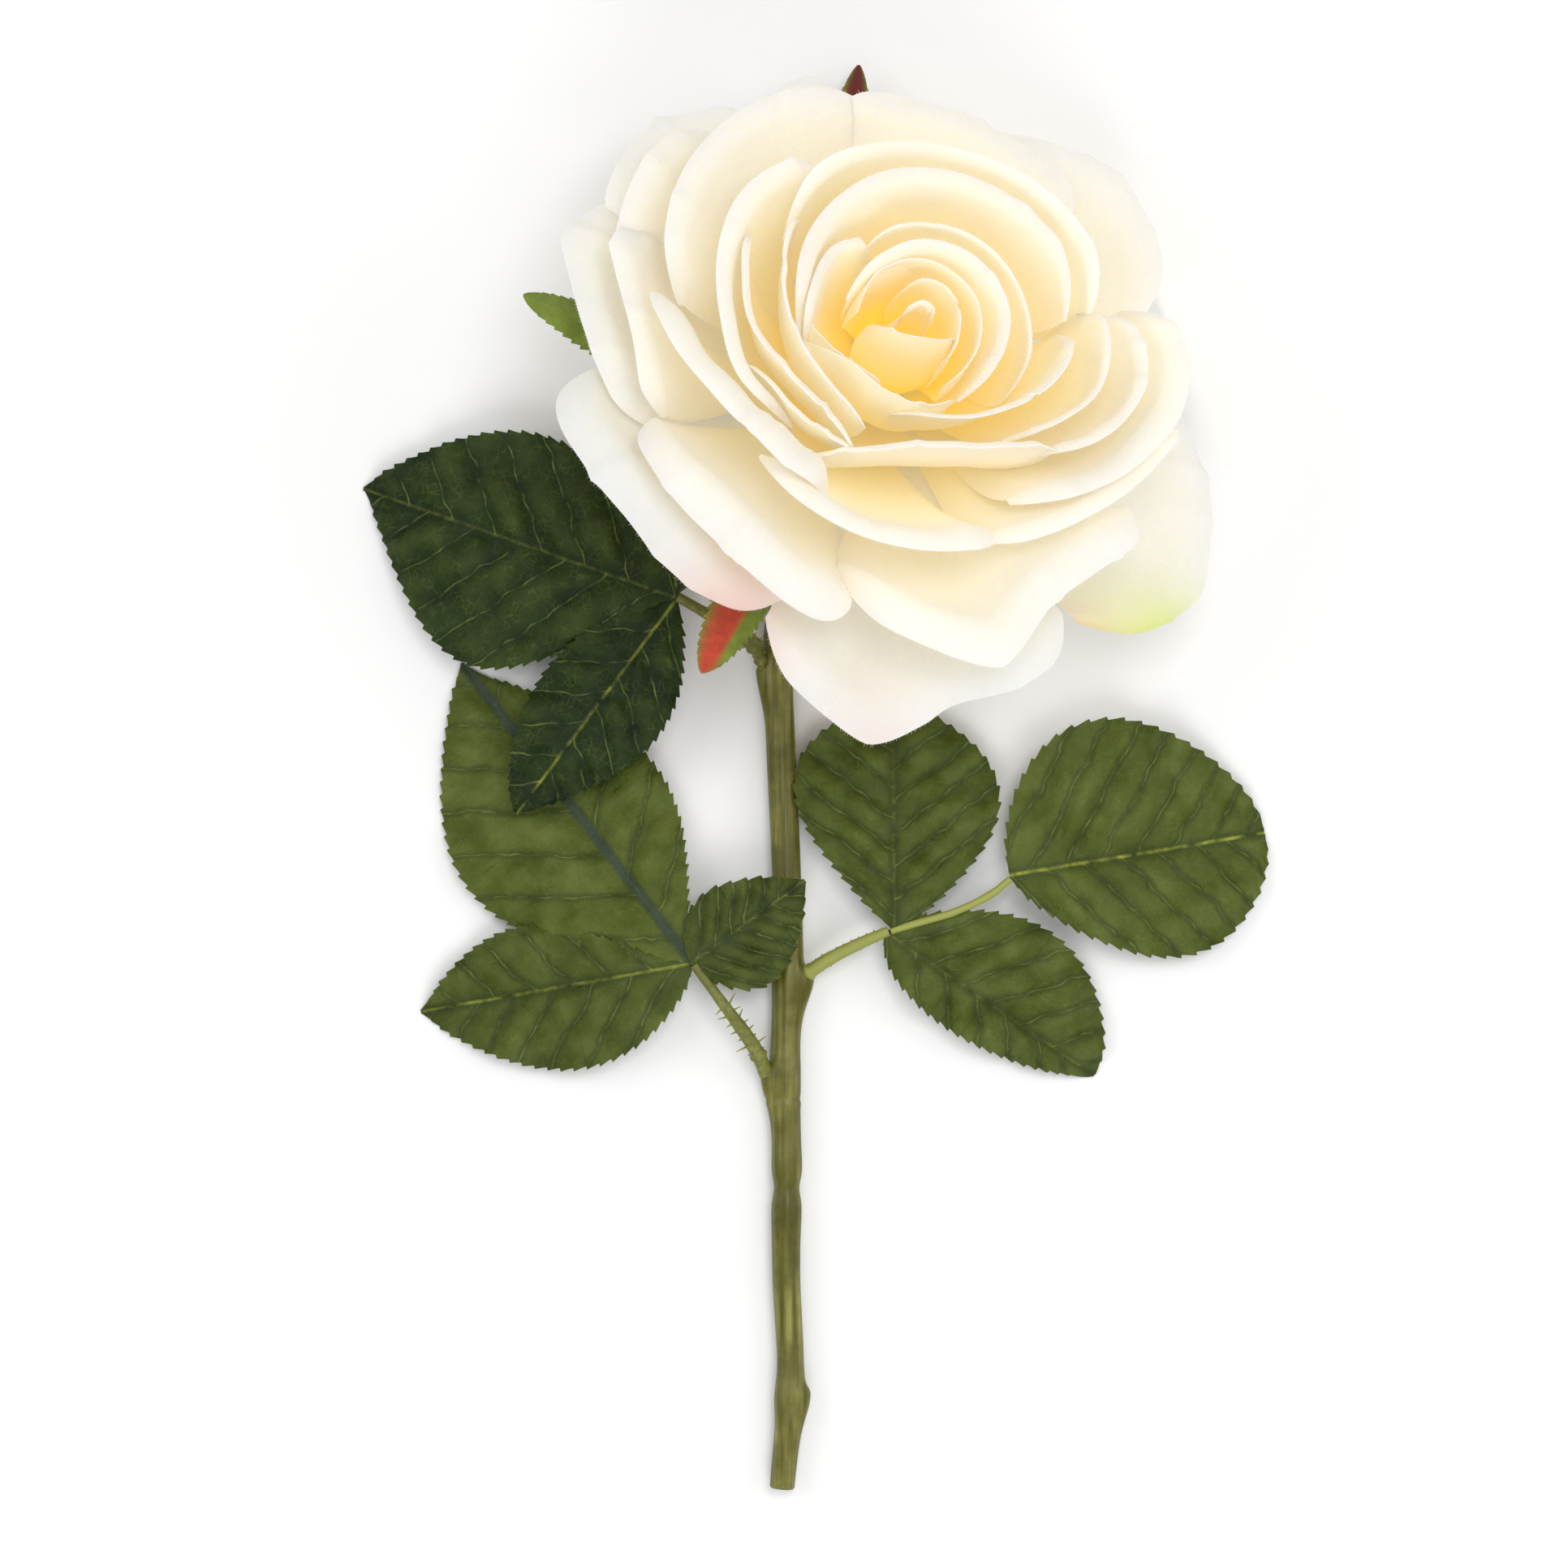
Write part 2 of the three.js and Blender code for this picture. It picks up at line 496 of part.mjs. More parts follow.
// ---------------------------------------------------------------- leaves
// Positions are from the neck of the stem. A leaflet runs from its base along its heading, in
// degrees from +X towards +Y. left and right give each half's width and the two powers of its
// outline; base and tip are heights above the surface, and arch how far the middle rises.
const SPRAYS = {
  upper: {
    petiole: [[-3.4, -8, 3.6], [-5.4, -3.4, 8], [-13, 1.6, 12], [-19.2, 5.2, 13]],
    radii: [0.75, 1.5, 1.1, 0.9],
    leaflets: {
      terminal: { at: [-20.6, 5.4], heading: 160.5, length: 60.8, left: [24, 1.07, 1.2],
        right: [20, 1.04, 0.87], base: 13, tip: 0.3, arch: 3 },
      side: { at: [-20.3, 3.6], heading: -126.8, length: 48, left: [12.1, 0.87, 1],
        right: [11.2, 1.01, 0.7], base: 12, tip: 8, arch: 2 },
      hidden: { at: [-19.6, 7.2], heading: 92, length: 44, left: [11.2, 1, 0.8],
        right: [12, 0.9, 0.9], base: 12.4, tip: 3, arch: 3 },
    },
  },
  lower: {
    petiole: [[-2.9, -83, 4], [-5.2, -78, 6.4], [-12, -68.4, 8], [-16.2, -62.6, 8.4]],
    radii: [1.4, 1.3, 1.05, 0.9],
    leaflets: {
      terminal: { at: [-17.6, -60.8], heading: 127.8, length: 68.5, left: [24.4, 1.03, 0.95],
        right: [16.5, 0.93, 1.3], base: 8.4, tip: 0.3, arch: -0.6 },
      side: { at: [-18, -62.6], heading: -169.7, length: 50, left: [15.3, 0.86, 0.85], right: [12, 1.3, 1],
        base: 7.8, tip: 0.3, arch: 2 },
      small: { at: [-15.6, -61.4], heading: 36, length: 24.5, left: [8.6, 0.7, 0.9], right: [11.4, 0.75, 0.9],
        base: 8.8, tip: 9, arch: 0.8 },
    },
  },
  right: {
    petiole: [[4.4, -64.4, 4], [9, -61.4, 5.2], [15, -58.4, 6], [19.7, -56.4, 6.4]],
    radii: [1.3, 1.25, 1.15, 0.9],
    stalk: [[24, -55.2, 6.6], [32, -52.8, 7.4], [38.6, -49.6, 7.6], [42.2, -46.8, 7.2]],
    leaflets: {
      terminal: { at: [43.6, -45.8], heading: 9.3, length: 46.7, left: [25.5, 0.8, 0.6],
        right: [19.8, 1.45, 0.5], base: 7.2, tip: 0.3, arch: 3 },
      side: { at: [20.6, -57.6], heading: -34.6, length: 45.5, left: [17, 1.12, 0.6],
        right: [7.9, 0.75, 0.73], base: 6.2, tip: 0.3, arch: 2.4 },
      upper: { at: [20.8, -55], heading: 90.4, length: 40.5, left: [18.2, 1.6, 0.6],
        right: [19.4, 1.28, 0.66], base: 6.6, tip: 2, arch: 2 },
    },
  },
};
const LEAF_ROWS = 8;
const LEAF_COLUMNS = [-1, -0.6, 0, 0.6, 1];
const STALK_RADIUS = 0.7;
const BASE_HALF = 0.6; // half width of a leaflet where it meets its petiole

function halfWidth([width, lean, fullness], u) {
  const outline = Math.sin(Math.PI * clamp(u, 0, 1) ** lean) ** fullness;
  return Math.max(BASE_HALF * (1 - 0.6 * u), width * LEAF_SCALE * outline);
}

function leafletGrid(leaflet) {
  const heading = radians(leaflet.heading);
  const forward = new THREE.Vector3(Math.cos(heading), Math.sin(heading), 0);
  const leftward = new THREE.Vector3(-Math.sin(heading), Math.cos(heading), 0);
  const grid = [];
  for (let i = 0; i <= LEAF_ROWS; i += 1) {
    const u = i / LEAF_ROWS;
    const spine = new THREE.Vector3(leaflet.at[0], STEM_LENGTH + leaflet.at[1], 0)
      .addScaledVector(forward, u * leaflet.length * LEAF_SCALE)
      .setZ(leaflet.base + (leaflet.tip - leaflet.base) * u + leaflet.arch * 4 * u * (1 - u));
    grid.push(LEAF_COLUMNS.map((v) => {
      const half = halfWidth(v > 0 ? leaflet.left : leaflet.right, u);
      const point = spine.clone().addScaledVector(leftward, v * half);
      point.z = Math.max(point.z - 1.4 * v * v * Math.sin(Math.PI * u), CLOTH / 2);
      return point;
    }));
  }
  return grid;
}

function rodAlong(points, radii) {
  const route = points.map(([x, y, z]) => new THREE.Vector3(x, STEM_LENGTH + y, z));
  const curve = new THREE.CatmullRomCurve3(route, false, "centripetal");
  return (margin) => rodGeometry(curve, 10, 8, (t) => along(radii, t) + margin);
}

// A spray's rods come first, then its leaflets, each trimmed clear of the stem and of those before it.
function makeSpray(name, spray, stemClearance) {
  const group = new THREE.Group();
  const taken = [stemClearance];
  const rods = { petiole: rodAlong(spray.petiole, spray.radii) };
  if (spray.stalk) rods.stalk = rodAlong(spray.stalk, STALK_RADIUS);
  for (const [part, rod] of Object.entries(rods)) {
    group.add(namedMesh(`${name}_${part}`, trimmed(rod(0), taken), "petiole"));
    taken.push(toSolid(rod(GAP)));
  }
  for (const [part, leaflet] of Object.entries(spray.leaflets)) {
    const grid = leafletGrid(leaflet);
    group.add(namedMesh(`${name}_leaflet_${part}`, trimmed(sheetGeometry(grid, CLOTH), taken), "leaf"));
    taken.push(sheetClearance(grid));
  }
  return group;
}

// ---------------------------------------------------------------- assembly
const rose = new THREE.Group();

// The bloom leans over, and sits at the height where its back rim just touches the surface.
const bloom = makeBloom();
const lean = radians(BLOOM_LEAN);
const turn = radians(BLOOM_TURN);
const axis = new THREE.Vector3().setFromSphericalCoords(1, lean, turn);
axis.set(axis.x, axis.z, axis.y);
const east = new THREE.Vector3(1, 0, 0).addScaledVector(axis, -axis.x).normalize();
bloom.quaternion.setFromRotationMatrix(new THREE.Matrix4().makeBasis(east, axis.clone().cross(east), axis));
bloom.updateMatrixWorld(true);
const rim = new THREE.Box3().setFromObject(bloom, true).min.z;
const calyxEnd = new THREE.Vector3(NECK_TURN, STEM_LENGTH + NECK_RUN, -rim)
  .addScaledVector(new THREE.Vector3(0, 0, axis.z), -CALYX_DEPTH - GAP);
bloom.position.copy(calyxEnd).addScaledVector(axis, CALYX_DEPTH + GAP);
rose.add(bloom);

rose.add(namedMesh("stem", stemGeometry(calyxEnd, axis, 0), "stem"));
const stemClearance = toSolid(stemGeometry(calyxEnd, axis, GAP));
for (const [name, spray] of Object.entries(SPRAYS)) {
  rose.add(makeSpray(name, spray, stemClearance));
}

// The origin is the middle of the whole rose, on the surface that it lies on.
rose.updateMatrixWorld(true);
const extent = new THREE.Box3().setFromObject(rose, true);
const centre = extent.getCenter(new THREE.Vector3());
rose.position.set(-centre.x, -centre.y, -extent.min.z);

export default rose;
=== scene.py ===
# %% [markdown]
# # An artificial rose, petal by petal
#
# The flower is made of stiffened cloth and moulded plastic. Thirty-seven petals are glued in a winding
# line round a plug, five sepals sit under them on a cup, and nine cloth leaflets hang on three sprays
# that plug onto the stem. It lies on its side on a pale table.
#
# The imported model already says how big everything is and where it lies. So this script first loads it,
# measures two places on it, and builds each fine piece round them.

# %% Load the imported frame
import math

import bmesh
import bpy
import numpy as np
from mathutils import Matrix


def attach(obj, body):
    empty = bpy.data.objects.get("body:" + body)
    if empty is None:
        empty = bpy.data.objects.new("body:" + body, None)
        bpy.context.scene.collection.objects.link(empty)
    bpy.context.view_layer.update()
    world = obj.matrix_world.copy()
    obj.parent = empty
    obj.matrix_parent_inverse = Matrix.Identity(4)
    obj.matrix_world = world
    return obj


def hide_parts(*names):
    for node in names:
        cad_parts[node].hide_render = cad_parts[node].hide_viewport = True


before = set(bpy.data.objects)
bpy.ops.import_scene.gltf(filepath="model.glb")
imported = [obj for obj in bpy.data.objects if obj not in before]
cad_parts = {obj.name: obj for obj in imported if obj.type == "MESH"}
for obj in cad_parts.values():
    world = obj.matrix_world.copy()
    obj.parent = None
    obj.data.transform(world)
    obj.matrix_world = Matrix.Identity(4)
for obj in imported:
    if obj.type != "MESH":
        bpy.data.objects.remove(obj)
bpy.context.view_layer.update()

MM = 0.001

# %% [markdown]
# ## Where things are
#
# A bloom that leans is hard to model in the room's own axes. It is much easier in axes of its own, where
# every petal is an azimuth, a radius and a height round the bloom's axis. The lean is a design value. The
# place is not typed in: the lowest ring of the calyx and the cut end of the stem are found on the packed
# model, and everything is built from those two points.

# %% The bloom's own axes
LEAN = math.radians(28)
TURN = math.radians(40)
AXIS = np.array([math.sin(LEAN) * math.sin(TURN), math.sin(LEAN) * math.cos(TURN), math.cos(LEAN)])
EAST = np.array([1.0, 0.0, 0.0]) - AXIS[0] * AXIS
EAST /= np.linalg.norm(EAST)
NORTH = np.cross(AXIS, EAST)
print("bloom axis:", AXIS.round(3))

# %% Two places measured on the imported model
CALYX_DEPTH = 12.0
STEM_RADIUS = 2.7
NODE_SWELL = 0.5


def node_points(name):
    """The different corners of a CAD node, in millimetres."""
    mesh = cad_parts[name].data
    flat = np.empty(len(mesh.vertices) * 3)
    mesh.vertices.foreach_get("co", flat)
    return np.unique((flat.reshape(-1, 3) / MM).round(4), axis=0)


def lowest_ring(points, direction, slack):
    """The middle of the corners that lie furthest against a direction."""
    reach = points @ direction
    return points[reach < reach.min() + slack].mean(axis=0)


BLOOM = lowest_ring(node_points("calyx"), AXIS, 0.2) + CALYX_DEPTH * AXIS
CUT_END = lowest_ring(node_points("stem"), np.array([0.0, 1.0, 0.0]), 1.0)
GROUND = CUT_END - np.array([0.0, 0.0, STEM_RADIUS + NODE_SWELL])
print("bloom at", BLOOM.round(2), "cut end at", CUT_END.round(2))


def in_bloom(azimuth, radius, height):
    """Points at an azimuth (radians), radius and height round the bloom's axis."""
    sideways = np.cos(azimuth)[..., None] * EAST + np.sin(azimuth)[..., None] * NORTH
    return BLOOM + radius[..., None] * sideways + height[..., None] * AXIS


# %% [markdown]
# ## Camera, table and light
#
# The camera looks straight down on the lying rose through a long lens, so that the petals keep their
# proportions. The light is a soft panel overhead, one on each side, a low one near the cut end and a pale
# surrounding. Cream cloth needs soft light: a hard lamp would burn out the rolled edges and blacken the
# depths of the bloom. The plain view transform keeps a white table white and the dyes as they are set; the
# filmic one that a new file has would grey both.

# %% Camera
LENS = 135.0
SENSOR = 36.0
VIEW_WIDTH = 289.8
AIM_HEIGHT = 8.0
AIM = GROUND + np.array([0.375, 130.8, AIM_HEIGHT])

camera_data = bpy.data.cameras.new("camera")
camera_data.lens = LENS
camera_data.sensor_width = SENSOR
camera = bpy.data.objects.new("camera", camera_data)
camera.location = (AIM + np.array([0.0, 0.0, VIEW_WIDTH * LENS / SENSOR])) * MM
bpy.context.scene.collection.objects.link(camera)
bpy.context.scene.camera = camera
bpy.context.scene.view_settings.view_transform = "Standard"
print("camera height, m:", round(camera.location.z, 3))


# %% Table top
def plain_material(name, colour, roughness):
    """A material with one Principled shader, and its node tree."""
    material = bpy.data.materials.new(name)
    material.use_nodes = True
    shader = material.node_tree.nodes["Principled BSDF"]
    shader.inputs["Base Color"].default_value = (*colour, 1.0)
    shader.inputs["Roughness"].default_value = roughness
    return material, shader


TABLE_SIDE = 6.0
TABLE_WHITE = (0.97, 0.97, 0.97)

bpy.ops.mesh.primitive_plane_add(size=TABLE_SIDE, location=(0.0, 0.0, 0.0))
floor = bpy.context.object
floor.name = "table_top"
floor.data.materials.append(plain_material("pale_table", TABLE_WHITE, 0.9)[0])
print("table side, m:", TABLE_SIDE)


# %% Lights
ROOM_LIGHT = 0.40
PANELS = {
    "overhead_panel": ((0.2, 0.3, 1.3), 0.6, 5.8),
    "near_panel": ((0.1, -0.9, 0.9), 0.8, 5.2),
    "right_panel": ((1.0, 0.2, 0.7), 0.8, 2.6),
    "left_panel": ((-0.9, 0.3, 0.8), 0.8, 3.2),
}


def soft_panel(name, place, aim, size, watts):
    """A square area light that points at a place, all in metres."""
    data = bpy.data.lights.new(name, "AREA")
    data.size = size
    data.energy = watts
    light = bpy.data.objects.new(name, data)
    light.location = place
    direction = light.location - type(light.location)(aim)
    light.rotation_euler = direction.to_track_quat("Z", "Y").to_euler()
    bpy.context.scene.collection.objects.link(light)


for panel_name, (place, size, watts) in PANELS.items():
    soft_panel(panel_name, place, tuple(BLOOM * MM), size, watts)
world = bpy.data.worlds.new("pale_room")
world.use_nodes = True
world.node_tree.nodes["Background"].inputs["Color"].default_value = (1.0, 1.0, 1.0, 1.0)
world.node_tree.nodes["Background"].inputs["Strength"].default_value = ROOM_LIGHT
bpy.context.scene.world = world
print("panels:", len(PANELS))


# %% [markdown]
# ## From a grid of points to a piece of cloth
#
# Petals, sepals and leaflets are all thin sheets that bend two ways. A modifier could thicken a single
# surface, but the frayed edge has to start exactly on the cut, so both faces and the rim are made here
# from one grid of points. Each corner also keeps where it was on the flat cloth, which the weave follows,
# and a tone, which on a petal says how much painted gold glow there is and how pink or green the dye is.

# %% Sheets
SHARP_ANGLE = math.radians(50)
TINY = 1e-9


def grid_normals(grid):
    """Unit normals of a grid of points, rows up the sheet and columns across it."""
    up = np.gradient(grid, axis=0)
    across = np.gradient(grid, axis=1)
    normal = np.cross(across, up)
    return normal / np.maximum(np.linalg.norm(normal, axis=2, keepdims=True), TINY)


def sheet_faces(rows, columns):
    """Quads of both faces of a sheet and of the rim between them."""
    index = np.arange(rows * columns).reshape(rows, columns)
    back = index + rows * columns

    def quads(a, b, c, d):
        return np.stack([a, b, c, d], axis=-1).reshape(-1, 4)

    return np.concatenate([
        quads(index[:-1, :-1], index[:-1, 1:], index[1:, 1:], index[1:, :-1]),
        quads(back[:-1, :-1], back[1:, :-1], back[1:, 1:], back[:-1, 1:]),
        quads(index[0, :-1], back[0, :-1], back[0, 1:], index[0, 1:]),
        quads(index[-1, :-1], index[-1, 1:], back[-1, 1:], back[-1, :-1]),
        quads(index[:-1, 0], index[1:, 0], back[1:, 0], back[:-1, 0]),
        quads(index[:-1, -1], back[:-1, -1], back[1:, -1], index[1:, -1]),
    ])


def mesh_object(name, points, faces, tone, cloth=None):
    """A mesh in metres from points in millimetres, with its tone and cloth place as attributes."""
    mesh = bpy.data.meshes.new(name)
    mesh.from_pydata((points * MM).tolist(), [], [list(face) for face in faces])
    for label, values in (("cloth", cloth), ("tone", tone)):
        if values is not None:
            layer = mesh.attributes.new(label, "FLOAT_VECTOR", "POINT")
            layer.data.foreach_set("vector", np.ascontiguousarray(values, dtype=np.float32).ravel())
    mesh.shade_smooth()
    mesh.set_sharp_from_angle(angle=SHARP_ANGLE)
    piece = bpy.data.objects.new(name, mesh)
    bpy.context.scene.collection.objects.link(piece)
    return piece


def sheet_object(name, grid, thickness, cloth, tone):
    """A closed sheet of cloth on both sides of a grid."""
    rows, columns = grid.shape[:2]
    normal = grid_normals(grid)
    points = np.concatenate([side.reshape(-1, 3) for side in
                             (grid + normal * thickness / 2, grid - normal * thickness / 2)])
    twice = [np.concatenate([values.reshape(-1, 3)] * 2) for values in (tone, cloth)]
    return mesh_object(name, points, sheet_faces(rows, columns), *twice)


# %% Smooth curves through stations
def along(stations, t):
    """Values at t (0 to 1) of a smooth curve through equally spaced stations."""
    values = np.atleast_1d(np.asarray(stations, float))
    last = len(values) - 1
    if last == 0:
        return np.full_like(t, values[0])
    if last == 1:
        return values[0] + (values[1] - values[0]) * t
    place = np.clip(t * last, 0.0, last - TINY)
    i = place.astype(int)
    f = place - i
    padded = np.concatenate([[2 * values[0] - values[1]], values, [2 * values[-1] - values[-2]]])
    a, b, c, d = padded[i], padded[i + 1], padded[i + 2], padded[i + 3]
    return 0.5 * (2 * b + (c - a) * f + (2 * a - 5 * b + 4 * c - d) * f**2 + (3 * (b - c) + d - a) * f**3)


def ripple(rng, t, waves, softness=1.0):
    """A smooth random curve of about unit height with the given number of waves."""
    total = np.zeros_like(t)
    for k in range(1, waves + 1):
        total += rng.normal() / k**softness * np.sin(2 * math.pi * (k * t * 0.5 + rng.random()))
    return total / math.sqrt(waves)


# %% Nothing below the table
SOFTNESS = 0.25


def above_table(z, lowest):
    """Heights pushed smoothly above the lowest one allowed."""
    return lowest + SOFTNESS * np.logaddexp(0, (z - lowest) / SOFTNESS)


# %% [markdown]
# ## The shape of a petal
#
# A rose petal could be sculpted, or draped as cloth. Here thirty-seven of them have to nest without
# cutting through each other, and a rule does that better. Each petal is a fan of meridians. A meridian
# leaves the foot on the plug at one slope, climbs to a crest at another, and then rolls over in a lip. The
# crest's radius and height are given at a few stations from one side of the petal to the other, and the
# curves between them are smooth. A tip pulls the edge out to a point. Small seeded ripples and pressed
# creases keep two petals from matching.

# %% Sizes of the bloom
CORE_HEIGHT = 14.0
CORE_RADIUS = 9.4
CALYX_RADIUS = 8.6
PETAL_CLOTH = 0.22
FOOT_WIDTH = 0.5
BELLY = 0.42
SHOULDER = 0.72
BODY_ROWS = 34
LIP_ROWS = 14
COLUMN_WIDTH = 1.1
FEWEST_COLUMNS = 24
MOST_COLUMNS = 110
FIRST_FOOT = 1.2
WINDING = 0.7
FOOT_DROP = 0.84
SIDE_PULL = 0.55
LIP_TAPER = 0.75
LIP_START = 0.86
LIP_WAVE = 0.14
FAN = 1.7
TIP_SHARPNESS = 1.3
TIP_REACH = 0.7
TIP_LIP = 0.5
BROAD_WAVE = 0.8
FINE_WAVE = 0.55
CREASE_DEPTHS = (0.3, 0.9)
CREASE_WIDTHS = (0.012, 0.03)
CREASE_SLANT = 0.05


# %% One petal
def petal_meridians(petal, share, t):
    """Radius and height of a petal at each row and column, first the body's rows and then the lip's."""
    side = np.clip((np.abs(2 * t - 1) - SHOULDER) / (1 - SHOULDER), 0, 1) ** 2
    foot_radius = FIRST_FOOT + (CORE_RADIUS - FIRST_FOOT) * share**WINDING
    foot_height = CORE_HEIGHT * (1 - FOOT_DROP * share)
    crest_r = along(petal["reach"], t) + TIP_REACH * petal["tip"]
    crest_h = along(petal["height"], t)
    crest_h = crest_h - (crest_h - foot_height) * petal["fall"] * side
    crest_r = crest_r - (crest_r - foot_radius) * petal["fall"] * side * SIDE_PULL
    rise = np.radians(along(petal["rise"], t))
    roll = np.radians(along(petal["roll"], t))
    step = petal["lip_length"] * (1 - LIP_TAPER * side) / LIP_ROWS
    k = np.arange(1, LIP_ROWS + 1)[:, None]
    slope = rise - roll * (k - 0.5) / LIP_ROWS
    lip_r = np.cumsum(np.cos(slope) * step, axis=0)
    lip_h = np.cumsum(np.sin(slope) * step, axis=0)
    crest_r = crest_r - np.maximum(lip_r.max(axis=0), 0)
    handle = BELLY * np.hypot(crest_r - foot_radius, crest_h - foot_height)
    leave = math.radians(petal["leave"])
    s = np.linspace(0, 1, BODY_ROWS)[:, None]
    weights = ((1 - s) ** 3, 3 * s * (1 - s) ** 2, 3 * s**2 * (1 - s), s**3)
    radii = (foot_radius, foot_radius + handle * math.cos(leave), crest_r - handle * np.cos(rise), crest_r)
    heights = (foot_height, foot_height + handle * math.sin(leave), crest_h - handle * np.sin(rise), crest_h)
    body_r = sum(w * value for w, value in zip(weights, radii))
    body_h = sum(w * value for w, value in zip(weights, heights))
    return np.concatenate([body_r, crest_r + lip_r]), np.concatenate([body_h, crest_h + lip_h])


def petal_grid(petal, share, rng):
    """The middle surface of a petal, and how far up it each row is."""
    first, last = petal["az"][0], petal["az"][-1]
    width = math.radians(abs(last - first)) * max(petal["reach"])
    columns = int(np.clip(width / COLUMN_WIDTH, FEWEST_COLUMNS, MOST_COLUMNS))
    t = np.linspace(0, 1, columns)
    petal["tip"] = np.zeros_like(t)
    for place, amount, spread in petal["tips"]:
        petal["tip"] += amount * np.exp(-np.abs((t - place) / spread) ** TIP_SHARPNESS)
    uneven = 1 + LIP_WAVE * ripple(rng, t, 9, 0.6)
    petal["lip_length"] = along(petal["lip"], t) * uneven + TIP_LIP * petal["tip"]
    radius, height = petal_meridians(petal, share, t)
    climb = np.concatenate([np.linspace(0, 1, BODY_ROWS), np.ones(LIP_ROWS)])[:, None]
    spread = FOOT_WIDTH + (1 - FOOT_WIDTH) * (1 - (1 - climb) ** FAN)
    middle = (first + last) / 2
    azimuth = np.radians(middle + (along(petal["az"], t) - middle) * spread)
    grid = in_bloom(azimuth, radius, height)
    up = np.concatenate([np.linspace(0, LIP_START, BODY_ROWS), np.linspace(LIP_START, 1, LIP_ROWS + 1)[1:]])
    grid = grid + grid_normals(grid) * petal_relief(petal, rng, t, up)[..., None]
    grid[..., 2] = above_table(grid[..., 2], 3 * PETAL_CLOTH)
    return grid, up


def petal_relief(petal, rng, t, up):
    """Ripples that grow towards the edge, and a few pressed creases, in millimetres."""
    size = petal["ripple"]
    relief = size * BROAD_WAVE * ripple(rng, t, 4)[None, :] * up[:, None] ** 2
    relief = relief + size * FINE_WAVE * ripple(rng, t, 11, 0.4)[None, :] * up[:, None] ** 6
    for _ in range(petal["creases"]):
        place = rng.uniform(0.1, 0.9) + CREASE_SLANT * (up - 1) * rng.normal()
        fold = np.exp(-(((t[None, :] - place[:, None]) / rng.uniform(*CREASE_WIDTHS)) ** 2))
        relief = relief - rng.uniform(*CREASE_DEPTHS) * fold * up[:, None] ** 5
    return relief
